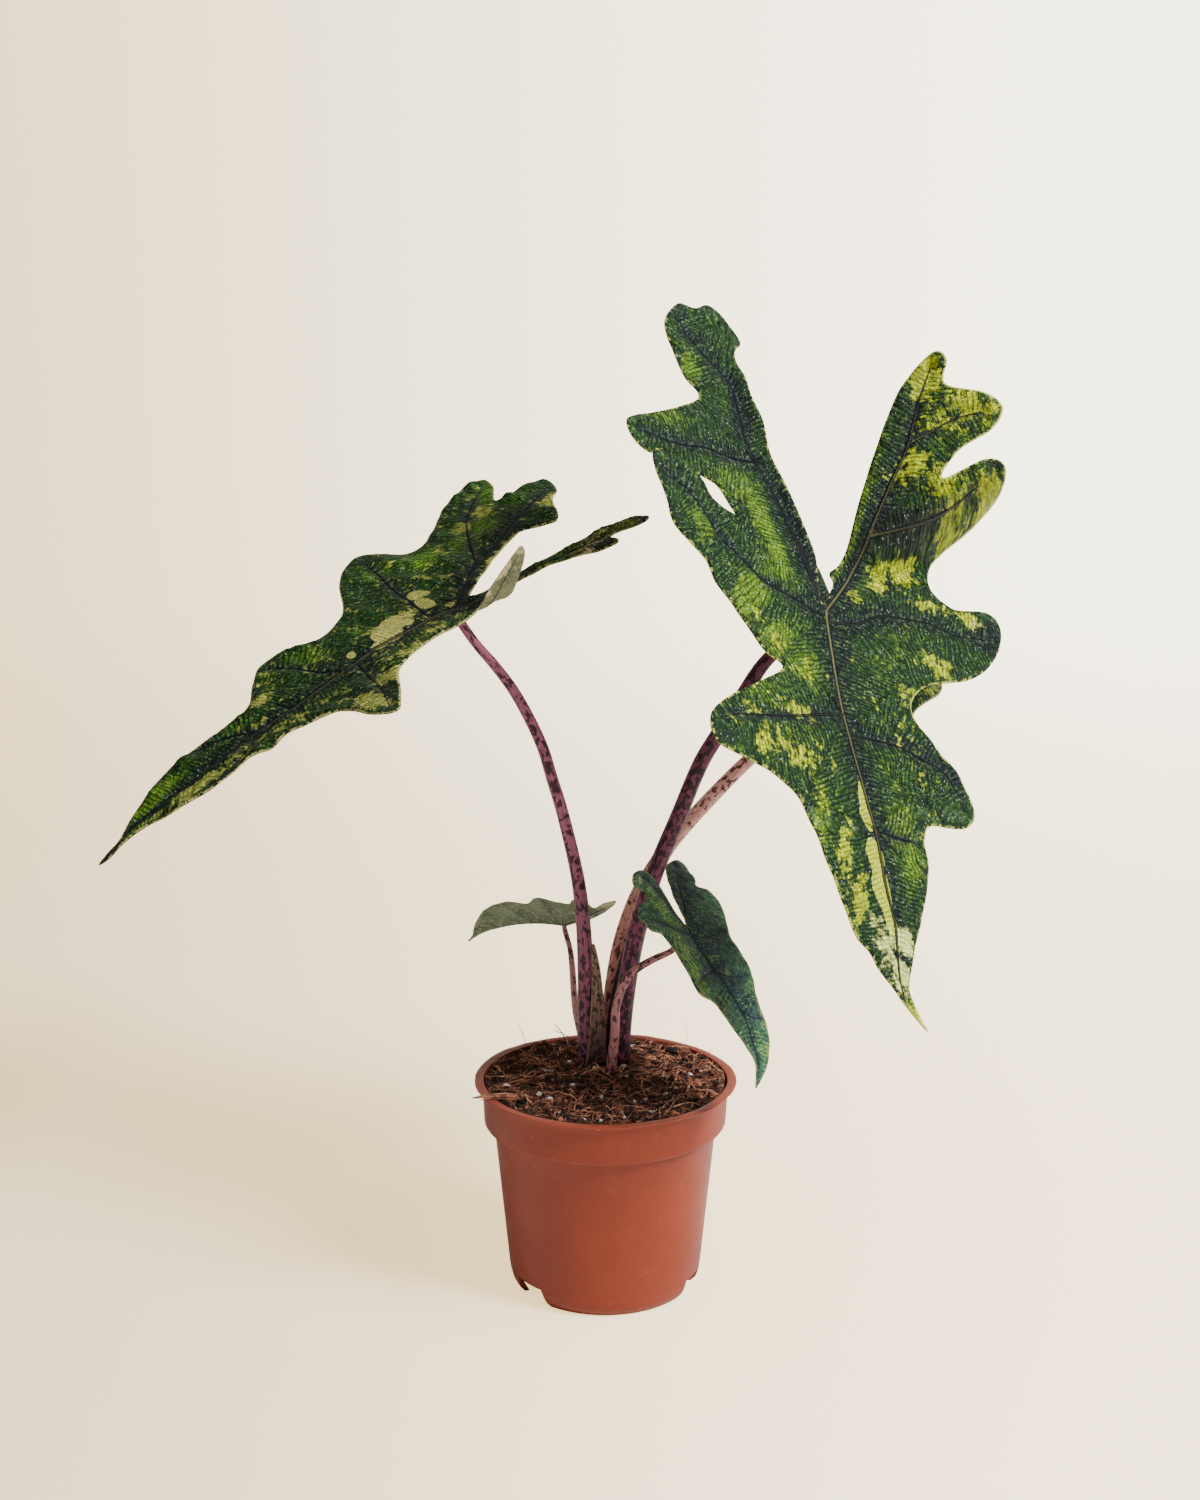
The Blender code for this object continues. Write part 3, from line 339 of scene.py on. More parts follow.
# Leaves
# Each leaf is drawn flat (u toward the tip, v to the side, mm) and then bent. veins run outward:
# kind, paleness, points. The patches after them are (u, v, radius along, radius across, turn in
# degrees, strength).
leaves = {
    "leaf_a": {
        "at": (94.6, -15, 315.5), "fore": (0.08, -0.668, -0.74), "side": (0.886, 0.388, -0.254),
        "slope": (12, 0), "droop": (0.3, 0), "back": (0, -2.5),
        "lap": {"gap": [(-48, -32), (-54, -36.9), (-60, -40.5), (-66, -43.2), (-71, -44.7), (-76, -45.9),
        (-80, -48.9), (-84, -49), (-90, -46.6), (-94.5, -43.5), (-99, -44)], "shift": (-2.3, -0.4),
        "lift": 2.3, "fade": (-60, -76), "reach": 13},
        "folds": [{"p": (-6, -4), "turn": 200, "hand": -1, "rise": 45, "r": 5, "span": (16, 112), "soft": 12}],
        "outline": [(-4, -1), (-20, -2), (-37, -7), (-58, -15), (-74, -22), (-90, -25), (-106, -31),
        (-127, -34), (-137, -29), (-146, -36), (-151, -46), (-144, -56), (-142, -66), (-126, -76),
        (-110, -73), (-98, -67), (-90, -61), (-75, -80), (-62, -101), (-57, -105.5), (-50, -104),
        (-46.6, -99), (-45.6, -94.5), (-47.2, -90), (-49.6, -84), (-49.6, -79), (-46.6, -76), (-45.6, -71),
        (-45.4, -64), (-44.3, -58), (-41, -54.2), (-36.8, -51), (-32, -48.2), (-32.8, -54.1),
        (-36.5, -60.5), (-41.4, -66.5), (-43.8, -71), (-45.6, -77.2), (-48.2, -80), (-48.4, -84),
        (-46, -89.4), (-43.6, -93.2), (-39.6, -94.6), (-34.5, -92.8), (-29.6, -89.8), (-21.8, -87.4),
        (-11, -84), (-2, -71), (9, -65), (22, -53), (34, -42), (39, -32), (50, -46), (64, -66), (76, -77),
        (87, -75), (90.5, -58), (94.5, -42), (102, -32), (120, -23), (152, -11), (162, -2), (178, 10),
        (190, 21), (179, 16), (171, 15), (153, 21), (135, 28), (118, 33), (107, 33), (98, 37), (96, 55),
        (87, 62), (69, 56), (57, 46), (47, 39), (38, 38), (27, 49), (20, 71), (9, 86), (-8, 96), (-20, 92),
        (-18, 71), (-25, 60), (-35, 59), (-42, 64), (-50, 73), (-56, 78), (-63, 79), (-66, 71), (-58, 53),
        (-71, 60), (-81, 74), (-92, 78), (-100, 70), (-105, 53), (-117, 53), (-121, 47), (-107, 36),
        (-93, 30), (-70, 23), (-36, 13), (-25, 9), (-20, 4), (-15, 6)],
        "veins": [("main", 1, [(0, 0), (30, 0), (51, 1), (73, 4), (93, 7), (107, 9), (128, 10), (146, 12),
        (164, 11), (178, 12), (188, 19)]), ("main", 0.05, [(0, 0), (-30, -11), (-54, -22), (-76, -34),
        (-106, -39), (-117, -52), (-125, -63), (-136, -67)]), ("main", 0.75, [(0, 0), (-19, 14), (-34, 20),
        (-46, 26), (-60, 32), (-75, 38), (-92, 41), (-112, 46)]),
        ("side", 0, [(-68, -30), (-64, -44), (-63, -60), (-59, -72), (-57, -83), (-56, -98)]),
        ("side", 0.9, [(-76, 39), (-81, 48), (-87, 58), (-90, 70)]),
        ("side", 0.5, [(-35, 21), (-39, 34), (-44, 48), (-49, 58), (-56, 69)]), ("side", 0, [(3, -2),
        (1, -13), (-1, -25), (-3, -37), (-10, -48), (-16, -59), (-26, -66), (-34, -77), (-36, -87)]),
        ("side", 0.15, [(5, 1), (3, 15), (-4, 28), (-6, 40), (-7, 56), (-4, 69), (-5, 86)]),
        ("side", 0.2, [(51, 1), (57, -17), (63, -34), (70, -60), (74, -69)]),
        ("side", 0.1, [(61, 3), (61, 17), (62, 28), (66, 39), (70, 49), (82, 57)]),
        ("side", 0.1, [(104, 8), (106, 18), (107, 29)])],
        "yellow": [(-92, 58, 28, 24, 0, 0.56), (-50, 66, 14, 18, 0, 0.6), (186, 18, 9, 6, 40, 1.2),
        (60, 40, 60, 40, 0, 0.3), (-109, 44, 17, 8, 0, 0.95), (-93, 61, 9, 18, -10, 0.72),
        (-91, 73, 7, 6, 0, 0.8), (-65, 41, 16, 9, -30, 0.75), (-58, 50, 10, 11, 0, 0.8),
        (-53, 72, 9, 8, 0, 0.9), (-44, 62, 7, 15, -10, 0.8), (-24, 30, 9, 7, 0, 1.1),
        (-29, 42, 8, 9, 20, 0.9), (-12, 17, 5, 5, 0, 0.7), (17, 55, 8, 9, -25, 0.85),
        (-13, 79, 5, 8, 0, 0.8), (-16, 55, 5, 16, 0, 0.6), (57, -29, 6, 16, 0, 0.65),
        (77, -45, 12, 22, 20, 0.6), (80, -26, 9, 14, 10, 0.6), (66, -50, 5, 14, 0, 0.5),
        (78, -10, 9, 5, 0, 0.5), (98, -20, 16, 8, -18, 0.45), (118, -11, 20, 6, -12, 0.8),
        (138, -6, 14, 6, -14, 0.95), (37, 35, 10, 9, 0, 0.55), (79, 36, 5, 7, 0, 0.5),
        (18, -42, 5, 12, -35, 0.6), (28, -34, 6, 7, 0, 0.7), (4, -55, 6, 9, 0, 0.4),
        (40, -22, 9, 8, 0, 0.5), (110, 26, 12, 5, 0, 0.4)],
        "band": [(90, 4.6, 8, 2.6, 5, 1.5), (99, 5.4, 7, 3.4, 8, 1.5), (117, 6.4, 9, 4.8, 4, 1.6),
        (131, 7.6, 12, 4.6, 6, 1.5), (145, 9.8, 7, 3.2, 8, 1.3)],
        "cream": [(156, 6, 15, 8, 25, 0.6), (154, 17, 8, 5, 15, 0.95), (167, 13, 9, 3.6, 25, 1.1),
        (155, 3, 8, 5, 20, 0.7), (172, 10, 7, 2.5, 35, 0.7), (-12, 81, 4, 6, 0, 0.55),
        (146, 0, 6, 5, 0, 0.6)],
        "bright": [(182, 15, 12, 6, 40, 1.3), (-88, 56, 30, 26, 0, 0.45), (-50, 62, 12, 16, 0, 0.6),
        (-70, 22, 20, 8, -20, 0.4), (-107, -64, 9, 7, 0, 0.8), (-50, -48, 10, 24, 10, 0.55),
        (-36, -34, 18, 7, 28, 1.1), (-20, -27, 18, 6, 25, 1), (10, -48, 26, 9, -38, 1),
        (26, -33, 14, 8, -40, 1), (-20, -70, 12, 8, 0, 0.7), (-74, -29, 30, 4, 20, 0.2),
        (35, -20, 14, 12, 0, 0.7), (-40, 14, 30, 4, -20, 0.9), (100, 22, 22, 9, -8, 0.6),
        (118, 24, 16, 6, -10, 0.9), (70, 22, 14, 12, 0, 0.25), (112, -24, 24, 5, -18, 0.9),
        (10, 40, 14, 20, 0, 0.3), (25, 25, 12, 12, 0, 0.35), (-96, -45, 12, 8, 0, 0.35),
        (-68, -85, 6, 14, 20, 0.6), (60, -38, 30, 30, 0, 0.35), (-20, 20, 20, 6, -20, 0.5)],
        "deep": [(-7, 88, 8, 10, 0, 1), (60, 52, 16, 10, 40, 0.7), (84, 30, 10, 10, 0, 0.4),
        (-95, -50, 26, 14, 0, 0.35), (-2, 30, 14, 22, 0, 0.4)],
        "green": (0.012, 0.048, 0.007), "fresh": (0.14, 0.27, 0.006), "dark": (0.0036, 0.0112, 0.0112),
        "gold": (0.55, 0.64, 0.004), "creamTint": (0.78, 0.86, 0.24), "under": (0.07, 0.12, 0.045),
        "glint": 0.55, "gloss": 0.18, "step": 1.15,
    },
    "leaf_b": {
        "at": (-66.4, 15, 311.6), "fore": (-0.664, -0.686, -0.297), "side": (0.663, -0.357, -0.659),
        "slope": (-35.3, 48.4), "droop": (1.918, 9.39), "back": (0.764, -4.5),
        "folds": [{"p": (-4, 11), "turn": 158, "hand": -1, "rise": 80, "r": 5, "span": (2, 64), "soft": 12}],
        "outline": [(-14, -5), (-48, -23), (-76, -34), (-84, -35), (-97, -29), (-108, -34), (-123, -50),
        (-136, -58), (-144, -71), (-135, -77), (-115, -74), (-107, -75), (-122, -89), (-126, -100),
        (-115, -102), (-85, -90), (-63, -76), (-41, -64), (-31, -67), (-21, -82), (-8, -81), (10, -68),
        (27, -47), (37, -40), (53, -36), (69, -43), (82, -42), (92, -34), (104, -21), (118, -19),
        (149, -18), (169, -10), (184, -1), (196, 4), (190, 7), (178, 5), (145, 17), (125, 15), (116, 20),
        (105, 18), (90, 27), (86, 33), (84, 53), (80, 62), (74, 57), (57, 30), (49, 23), (40, 19), (28, 17),
        (14, 19), (2, 20), (-6, 25), (-12.5, 34.5), (-17.5, 41), (-20.5, 44), (-22.5, 41), (-21, 32),
        (-18, 23), (-17, 15), (-22, 10), (-31, 8.5), (-40, 11), (-54, 18.5), (-64, 32), (-73, 38),
        (-77, 34), (-77, 28), (-83, 30), (-93, 38), (-97, 35), (-93, 24), (-80, 14), (-62, 7), (-44, 1),
        (-28, -3)],
        "veins": [("main", 0.35, [(0, 0), (6, -4), (25, -5), (44, -6), (63, -4), (85, -2), (100, -2),
        (115, -2), (144, -1), (172, -2), (183, 0), (194, 4)]), ("main", 0, [(0, 0), (-18, -12), (-42, -28),
        (-61, -34), (-80, -43), (-105, -53), (-132, -63)]),
        ("main", 0.2, [(0, 0), (-22, 2.5), (-34, 3), (-48, 8), (-72, 20), (-90, 31)]),
        ("side", 0, [(-42, -28), (-62, -52), (-83, -72), (-115, -92)]),
        ("side", 0, [(11, -4), (9, -12), (5, -23), (-1, -43), (-10, -64), (-15, -78)]),
        ("side", 0, [(62, -4), (69, -13), (74, -27), (82, -38)]),
        ("side", 0.1, [(55, -4), (63, 17), (69, 34), (78, 54)]),
        ("side", 0, [(2, 2), (-5, 13), (-12, 27), (-18, 38)]),
        ("side", 0, [(110, -2), (122, -12), (134, -16)]), ("side", 0, [(110, -2), (124, 8), (140, 14)])],
        "yellow": [(20, 0, 200, 120, 0, 0.33), (110, 9, 50, 8, 0, 0.6), (20, 12, 40, 6, 0, 0.52),
        (-62, 24, 30, 10, 15, 0.52), (60, 28, 9, 12, 10, 0.95), (78, 41, 7, 16, 0, 1.1),
        (-68, -63, 10, 5, 20, 0.9), (-90, -68, 12, 6, 30, 0.9), (-118, -50, 12, 8, 20, 0.9),
        (98, -18, 7, 5, 0, 0.9), (109, -6, 10, 5, 0, 0.5), (146, 8, 16, 6, 0, 1), (124, 6, 12, 6, 0, 0.7),
        (45, 14, 22, 5, 0, 0.75), (-40, -50, 9, 7, 0, 0.4), (100, 12, 14, 5, 0, 0.6),
        (168, 3, 10, 3, 0, 0.7), (20, -30, 8, 8, 0, 0.25), (82, 13, 10, 6, 0, 0.5),
        (-60, 20, 30, 12, 15, 0.6), (-85, 28, 14, 10, 0, 0.8), (90, -28, 8, 5, 0, 0.5),
        (-110, -90, 14, 6, 20, 0.5), (-30, -40, 16, 8, 0, 0.3), (20, -40, 12, 8, 0, 0.3),
        (60, -30, 10, 6, 0, 0.3), (-60, -28, 20, 3, 20, 0.8), (128, -14, 16, 4, 0, 0.4),
        (-95, -45, 8, 5, 0, 0.45)],
        "band": [(-2, -26, 6, 4.6, -38, 1.6), (3, -17, 4, 7, 0, 1.5), (23, -14.5, 8, 6.4, -10, 1.7),
        (32, -10.5, 8, 6.6, 10, 1.7), (41, -6, 5, 3.2, 0, 1.3), (53, -11, 2.4, 2.6, 0, 1.6)],
        "cream": [(-70, 26, 24, 6, 20, 0.5), (-20, 30, 10, 10, 0, 0.5), (-20, 43, 5, 4, 0, 1),
        (-11, 33, 4, 9, 35, 1), (-3, 23, 6, 3, 30, 0.9)],
        "bright": [(-70, -55, 30, 14, 20, 0.7), (-112, -84, 18, 12, 20, 0.7), (-112, -60, 20, 12, 20, 0.5),
        (-50, 12, 36, 10, 12, 0.9), (-84, 24, 16, 10, 0, 0.9), (-30, -52, 12, 10, 0, 0.8),
        (166, -6, 16, 6, 0, 1.1), (150, -10, 12, 6, 0, 0.6), (66, -28, 12, 10, 0, 0.5),
        (-5, -60, 14, 12, 0, 0.5), (120, -12, 14, 6, 0, 0.5), (-50, -42, 14, 8, 0, 0.35),
        (20, 12, 20, 5, 0, 0.5), (84, -32, 8, 8, 0, 0.3), (40, -24, 10, 8, 0, 0.4),
        (174, 2, 12, 4, 0, 0.8)],
        "deep": [(-100, -62, 16, 9, 20, 0.6), (74, 24, 8, 10, 0, 0.7), (10, -48, 14, 10, 0, 0.3),
        (104, -2, 30, 4, 0, 0.4)],
        "green": (0.008, 0.036, 0.004), "fresh": (0.1, 0.22, 0.008), "dark": (0.004, 0.011, 0.0065),
        "gold": (0.33, 0.34, 0.06), "creamTint": (0.72, 0.6, 0.32), "under": (0.3, 0.31, 0.14),
        "glint": 0.45, "gloss": 0.06, "step": 1.15,
    },
    "leaf_c": {
        "at": (36.9, -20, 174), "fore": (0.447, -0.638, -0.627), "side": (0.891, 0.377, 0.252),
        "slope": (42.9, -33.7), "droop": (5.14, 26.7), "back": (-23.8, 6.74), "folds": [],
        "outline": [(-2.5, 0.5), (-11, -3), (-24, -7), (-36, -15), (-43, -23.5), (-44.5, -29), (-35, -29.5),
        (-23.5, -21.5), (-17.5, -31), (-8, -35.5), (2.5, -32), (5, -24), (14.5, -21.5), (25, -20.5),
        (32.5, -20), (36, -12.5), (41, -9.5), (50.5, -5.5), (62.5, -0.5), (69, -2), (75.5, -8.5), (70.5, 5),
        (61, 14.5), (50, 19), (38.5, 20.5), (26.5, 25.5), (15.5, 26.5), (4, 25.5), (-8, 30), (-20.5, 33),
        (-28, 31), (-31, 25.5), (-37, 27.5), (-51.5, 28), (-52, 23.5), (-42.5, 13), (-23.5, 5),
        (-11.5, 2.5)],
        "veins": [("main", 0, [(0, 0), (9.5, -0.3), (18.5, 1.5), (25.5, 3.5), (33, 4.5), (44.5, 6),
        (56, 4.5), (67.5, 1), (74.5, -7)]),
        ("main", 0, [(0, 0), (-12.5, -5.5), (-27, -13), (-37.5, -21.5)]),
        ("main", 0, [(0, 0), (-15.5, 7.5), (-34, 15), (-48, 22)]), ("side", 0, [(2, 0), (4, 10), (0, 22)]),
        ("side", 0, [(2, 0), (0, -12), (-6, -28)]), ("side", 0, [(22, 2), (26, 12), (26, 22)]),
        ("side", 0, [(22, 2), (24, -8), (28, -17)]), ("side", 0, [(42, 6), (47, 12), (48, 18)])],
        "yellow": [(10, 0, 90, 60, 0, 0.28), (28, -16, 10, 3, 0, 0.7), (5, -18, 10, 4, 0, 0.45),
        (-14, -14, 10, 4, 0, 0.5), (53, 17, 4, 2.4, 0, 1.2), (63, 11, 5, 1.6, -40, 1.2),
        (30, 21, 7, 3, 0, 0.4), (-30, 26, 6, 3, 0, 0.3)],
        "band": [], "cream": [(-36, -24, 4, 3, 0, 0.9)],
        "bright": [(20, -15, 24, 5, 0, 0.9), (-14, -15, 20, 6, 20, 0.8), (60, 6, 14, 6, 0, 0.5),
        (66, -2, 10, 4, 0, 0.8), (34, 22, 10, 4, 0, 0.4)],
        "deep": [(10, 12, 18, 10, 0, 0.7), (36, 12, 14, 6, 0, 0.5), (-30, 20, 16, 8, 0, 0.5)],
        "green": (0.07, 0.2, 0.085), "fresh": (0.25, 0.52, 0.065), "dark": (0.022, 0.06, 0.068),
        "gold": (0.23, 0.29, 0.05), "creamTint": (0.5, 0.5, 0.22), "under": (0.07, 0.11, 0.05), "glint": 1,
        "gloss": 0.22, "step": 0.7,
    },
    "leaf_d": {
        "at": (-19.1, 58, 154), "fore": (-0.773, 0.631, -0.064), "side": (-0.631, -0.755, 0.174),
        "slope": (15, 28.8), "droop": (6.36, 49), "back": (0, -4.9), "folds": [],
        "outline": [(-4, 0), (-5, -5), (-6, -11), (-7, -17), (-5, -22), (-1, -24), (5, -22), (9, -18),
        (14, -18), (22, -19), (35, -14), (49, -9), (61, -10), (77, -15), (65, -3), (53, 7), (37.5, 16.5),
        (25, 20.5), (17.5, 21), (9.7, 19.5), (-2.5, 28.5), (-13, 25.5), (-20, 24), (-25.5, 27.5), (-32, 25),
        (-32.5, 19.5), (-43, 23.5), (-49.5, 23), (-41, 17.5), (-23.5, 8.7), (-10, 3)],
        "veins": [("main", 0, [(0, 0), (14, 0), (30, 0), (46, -1), (60, -6), (75, -14)]),
        ("main", 0, [(0, 0), (-12, 7), (-26, 14), (-38, 19), (-47, 22)]),
        ("main", 0, [(0, 0), (-1, -10), (-2, -20)]), ("side", 0, [(2, 0), (0, 12), (-4, 25)]),
        ("side", 0, [(20, 0), (22, 9), (22, 18)]), ("side", 0, [(24, 0), (30, -8), (34, -13)]),
        ("side", 0, [(40, -1), (46, 5), (48, 9)])],
        "yellow": [(-36, 20, 12, 5, 20, 0.9), (10, -16, 14, 4, 0, 0.9), (30, 12, 12, 6, 0, 0.3)],
        "band": [],
        "cream": [(-44, 22, 8, 5, 10, 1.1), (-20, 12, 14, 4, 24, 0.7), (12, -18, 14, 3, 0, 0.9)],
        "bright": [(20, 8, 16, 8, 0, 0.5)], "deep": [], "green": (0.2, 0.225, 0.115),
        "fresh": (0.23, 0.29, 0.08), "dark": (0.07, 0.08, 0.06), "gold": (0.46, 0.46, 0.2),
        "creamTint": (0.75, 0.7, 0.42), "under": (0.23, 0.29, 0.155), "glint": 0.5, "gloss": 0.15,
        "step": 0.75,
    },
    "leaf_e": {
        "at": (120, 50, 276.3), "fore": (0.1, -0.598, -0.795), "side": (0.898, 0.399, -0.187),
        "slope": (6, 4), "droop": (0.5, 0), "back": (0.5, -0.5), "folds": [],
        "outline": [(-5, 0), (-26, 9), (-48, 15), (-63, 19), (-69, 26), (-64, 32), (-52, 32), (-42, 28),
        (-38, 36), (-33, 42), (-27, 42), (-22, 35), (-17, 31), (-9, 37), (-1, 42), (6, 40), (13, 29),
        (19, 23), (27, 23), (36, 28), (42, 29), (47, 26), (51, 19), (61, 17), (77, 13), (90, 8), (99, 3),
        (106, 0), (99, -3), (90, -8), (77, -13), (61, -16), (51, -19), (47, -25), (42, -28), (35, -27),
        (27, -22), (19, -23), (13, -28), (6, -38), (-1, -40), (-9, -36), (-17, -30), (-23, -34), (-28, -39),
        (-33, -38), (-36, -33), (-40, -27), (-50, -28), (-59, -28), (-63, -23), (-57, -17), (-46, -13),
        (-26, -8)],
        "veins": [("main", 0.4, [(0, 0), (20, 0), (42, 0), (64, 0), (86, 0), (103, 0)]),
        ("main", 0.1, [(0, 0), (-22, -12), (-44, -20), (-60, -25)]),
        ("main", 0.1, [(0, 0), (-22, 12), (-44, 21), (-66, 27)]), ("side", 0, [(3, 0), (0, 16), (0, 38)]),
        ("side", 0, [(3, 0), (0, -16), (0, -37)]), ("side", 0, [(26, 0), (34, 12), (41, 26)]),
        ("side", 0, [(26, 0), (34, -12), (41, -26)]), ("side", 0, [(-22, 12), (-26, 24), (-31, 38)]),
        ("side", 0, [(-22, -12), (-26, -24), (-31, -36)]), ("side", 0, [(52, 0), (60, 8), (66, 14)]),
        ("side", 0, [(52, 0), (60, -8), (66, -13)])],
        "yellow": [(0, 38, 20, 8, 0, 0.7), (40, 24, 12, 6, 0, 0.35), (10, 28, 14, 6, 0, 0.6),
        (-40, 20, 20, 8, 20, 0.5), (60, -8, 16, 6, 0, 0.6)],
        "band": [], "cream": [(80, 0, 12, 6, 0, 0.5)], "bright": [(10, 0, 60, 40, 0, 0.35)], "deep": [],
        "green": (0.014, 0.05, 0.011), "fresh": (0.075, 0.16, 0.012), "dark": (0.0045, 0.0105, 0.011),
        "gold": (0.2, 0.22, 0.018), "creamTint": (0.5, 0.5, 0.22), "under": (0.09, 0.13, 0.03),
        "glint": 0.4, "gloss": 0.2, "step": 1.3,
    },
}
veinKinds = {
    "main": {"wide": 0.92, "reach": 8.0, "shade": 1.0, "ridge": 1.5, "slant": 0.35},
    "side": {"wide": 0.50, "reach": 6.0, "shade": 0.85, "ridge": 0.7, "slant": 0.2},
}
blade = {"middle": 0.8, "margin": 0.35, "plane": 400.0}     # mm: thicknesses, and the width of the UV map
patchKinds = ("yellow", "band", "cream", "bright", "deep")
veinColour = (0.030, 0.045, 0.025)


# Rolls the flat sheet up round a small radius beyond a line
def turnUp(u, v, w, fold):
    angle = math.radians(fold["turn"])
    along = np.array([math.cos(angle), math.sin(angle)])
    across = np.array([-along[1], along[0]]) * fold["hand"]
    du, dv = u - fold["p"][0], v - fold["p"][1]
    s = du * along[0] + dv * along[1]
    d = du * across[0] + dv * across[1]
    low, high = fold["span"]
    window = 1 / (1 + np.exp(-4 * (s - low) / fold["soft"])) / (1 + np.exp(4 * (s - high) / fold["soft"]))
    rise = math.radians(fold["rise"]) * window
    reach = np.maximum(d, 0.0)
    turned = np.minimum(reach / fold["r"], rise)
    rest = reach - turned * fold["r"]
    d = np.where(d > 0, fold["r"] * np.sin(turned) + rest * np.cos(turned), d)
    lift = fold["r"] * (1 - np.cos(turned)) + rest * np.sin(turned)
    return fold["p"][0] + s * along[0] + d * across[0], fold["p"][1] + s * along[1] + d * across[1], w + lift


# The blade's own directions: toward the tip, to the side and up
def leafAxes(leaf):
    fore = np.array(leaf["fore"])
    fore = fore / np.linalg.norm(fore)
    across = np.array(leaf["side"])
    across = across - fore * (across @ fore)
    across = across / np.linalg.norm(across)
    return fore, across, np.cross(fore, across)


# Place of flat points on the bent blade: sides slope up or down, the tip droops along a growing curve
def bladePoint(leaf, u, v):
    w = np.zeros_like(u)
    for fold in leaf["folds"]:
        u, v, w = turnUp(u, v, w, fold)
    right = v > 0
    slope = np.radians(np.where(right, leaf["slope"][1], leaf["slope"][0]))
    side = np.abs(v) * np.cos(slope) - w * np.sin(slope)
    lift = np.abs(v) * np.sin(slope) + w * np.cos(slope)
    side = np.where(right, side, -side)
    bend = np.where(u > 0, leaf["droop"][0], np.where(right, leaf["back"][1], leaf["back"][0])) * 1e-3
    growth = np.where(u > 0, leaf["droop"][1] * 1e-6, 0.0)
    share = (np.arange(24) + 0.5) / 24
    theta = bend[:, None] * u[:, None] * share + 0.5 * growth[:, None] * (u[:, None] * share) ** 2
    end = bend * u + 0.5 * growth * u * u
    x = np.cos(theta).mean(1) * u + lift * np.sin(end)
    z = lift * np.cos(end) - np.sin(theta).mean(1) * u
    fore, across, up = leafAxes(leaf)
    return np.array(leaf["at"]) + x[:, None] * fore + side[:, None] * across + z[:, None] * up


# Cross product of the blade's two slopes
def bladeNormal(leaf, u, v, step=1.2):
    along = bladePoint(leaf, u + step, v) - bladePoint(leaf, u - step, v)
    across = bladePoint(leaf, u, v + step) - bladePoint(leaf, u, v - step)
    n = np.cross(along, across)
    return n / np.linalg.norm(n, axis=1, keepdims=True)


# Small leaves have smaller veins: the square root of the blade's length over 340 mm
def leafScale(leaf):
    u = [point[0] for point in leaf["outline"]]
    return float(np.clip(np.sqrt((max(u) - min(u)) / 340), 0.5, 1.0))


# Point numbers in parts that fit in memory
def chunks(points):
    return np.array_split(np.arange(len(points)), max(len(points) // chunk, 1))


# Which points lie inside a closed loop, by counting crossings
def insideLoop(points, loop):
    a, b = loop, np.roll(loop, -1, axis=0)
    inside = np.zeros(len(points), bool)
    for part in chunks(points):
        p = points[part][:, None, :]
        spans = (a[:, 1] > p[..., 1]) != (b[:, 1] > p[..., 1])
        crossing = (b[:, 0] - a[:, 0]) * (p[..., 1] - a[:, 1]) / (b[:, 1] - a[:, 1] + 1e-12) + a[:, 0]
        inside[part] = (spans & (p[..., 0] < crossing)).sum(1) % 2 == 1
    return inside


# Distance from each point to the nearest piece of a line, the length along the line there and the side
def lineDistance(points, line):
    a = line[:-1]
    step = line[1:] - a
    size = (step ** 2).sum(1)
    before = np.concatenate([[0.0], np.cumsum(np.sqrt(size))])[:-1]
    far, run, side = (np.zeros(len(points)) for _ in range(3))
    for part in chunks(points):
        p = points[part][:, None, :]
        t = np.clip(((p - a) * step).sum(-1) / size, 0, 1)
        gap = p - (a + t[..., None] * step)
        d = np.sqrt((gap ** 2).sum(-1))
        k = d.argmin(1)
        rows = np.arange(len(part))
        far[part] = d[rows, k]
        run[part] = before[k] + t[rows, k] * np.sqrt(size[k])
        side[part] = np.sign(step[k, 0] * gap[rows, k, 1] - step[k, 1] * gap[rows, k, 0])
    return far, run, side


# The strongest of the soft ellipses at each point: exp(-(distance / radius)^2) in each one's turned axes
def patchMask(points, patches):
    mask = np.zeros(len(points))
    for u, v, ru, rv, turn, strength in patches:
        c, s = math.cos(math.radians(turn)), math.sin(math.radians(turn))
        du, dv = points[:, 0] - u, points[:, 1] - v
        far = ((du * c + dv * s) / ru) ** 2 + ((dv * c - du * s) / rv) ** 2
        mask = np.maximum(mask, strength * np.exp(-far))
    return mask


# Slides one side of a slit over the other: the shift grows along the slit and fades away from it
def lapOver(leaf, points):
    u, v = points[:, 0], points[:, 1]
    if "lap" not in leaf:
        return u, v, np.zeros(len(points))
    lap = leaf["lap"]
    gap = np.array(lap["gap"][::-1], float)
    slit = np.interp(v, gap[:, 0], gap[:, 1])
    t = np.clip((v - lap["fade"][0]) / (lap["fade"][1] - lap["fade"][0]), 0, 1)
    part = np.where((u > slit) & (v < lap["gap"][0][0]), t * t * (3 - 2 * t), 0)
    part = part * np.exp(-((u - slit) / lap["reach"]) ** 2)
    return u + part * lap["shift"][0], v + part * lap["shift"][1], part * lap["lift"]


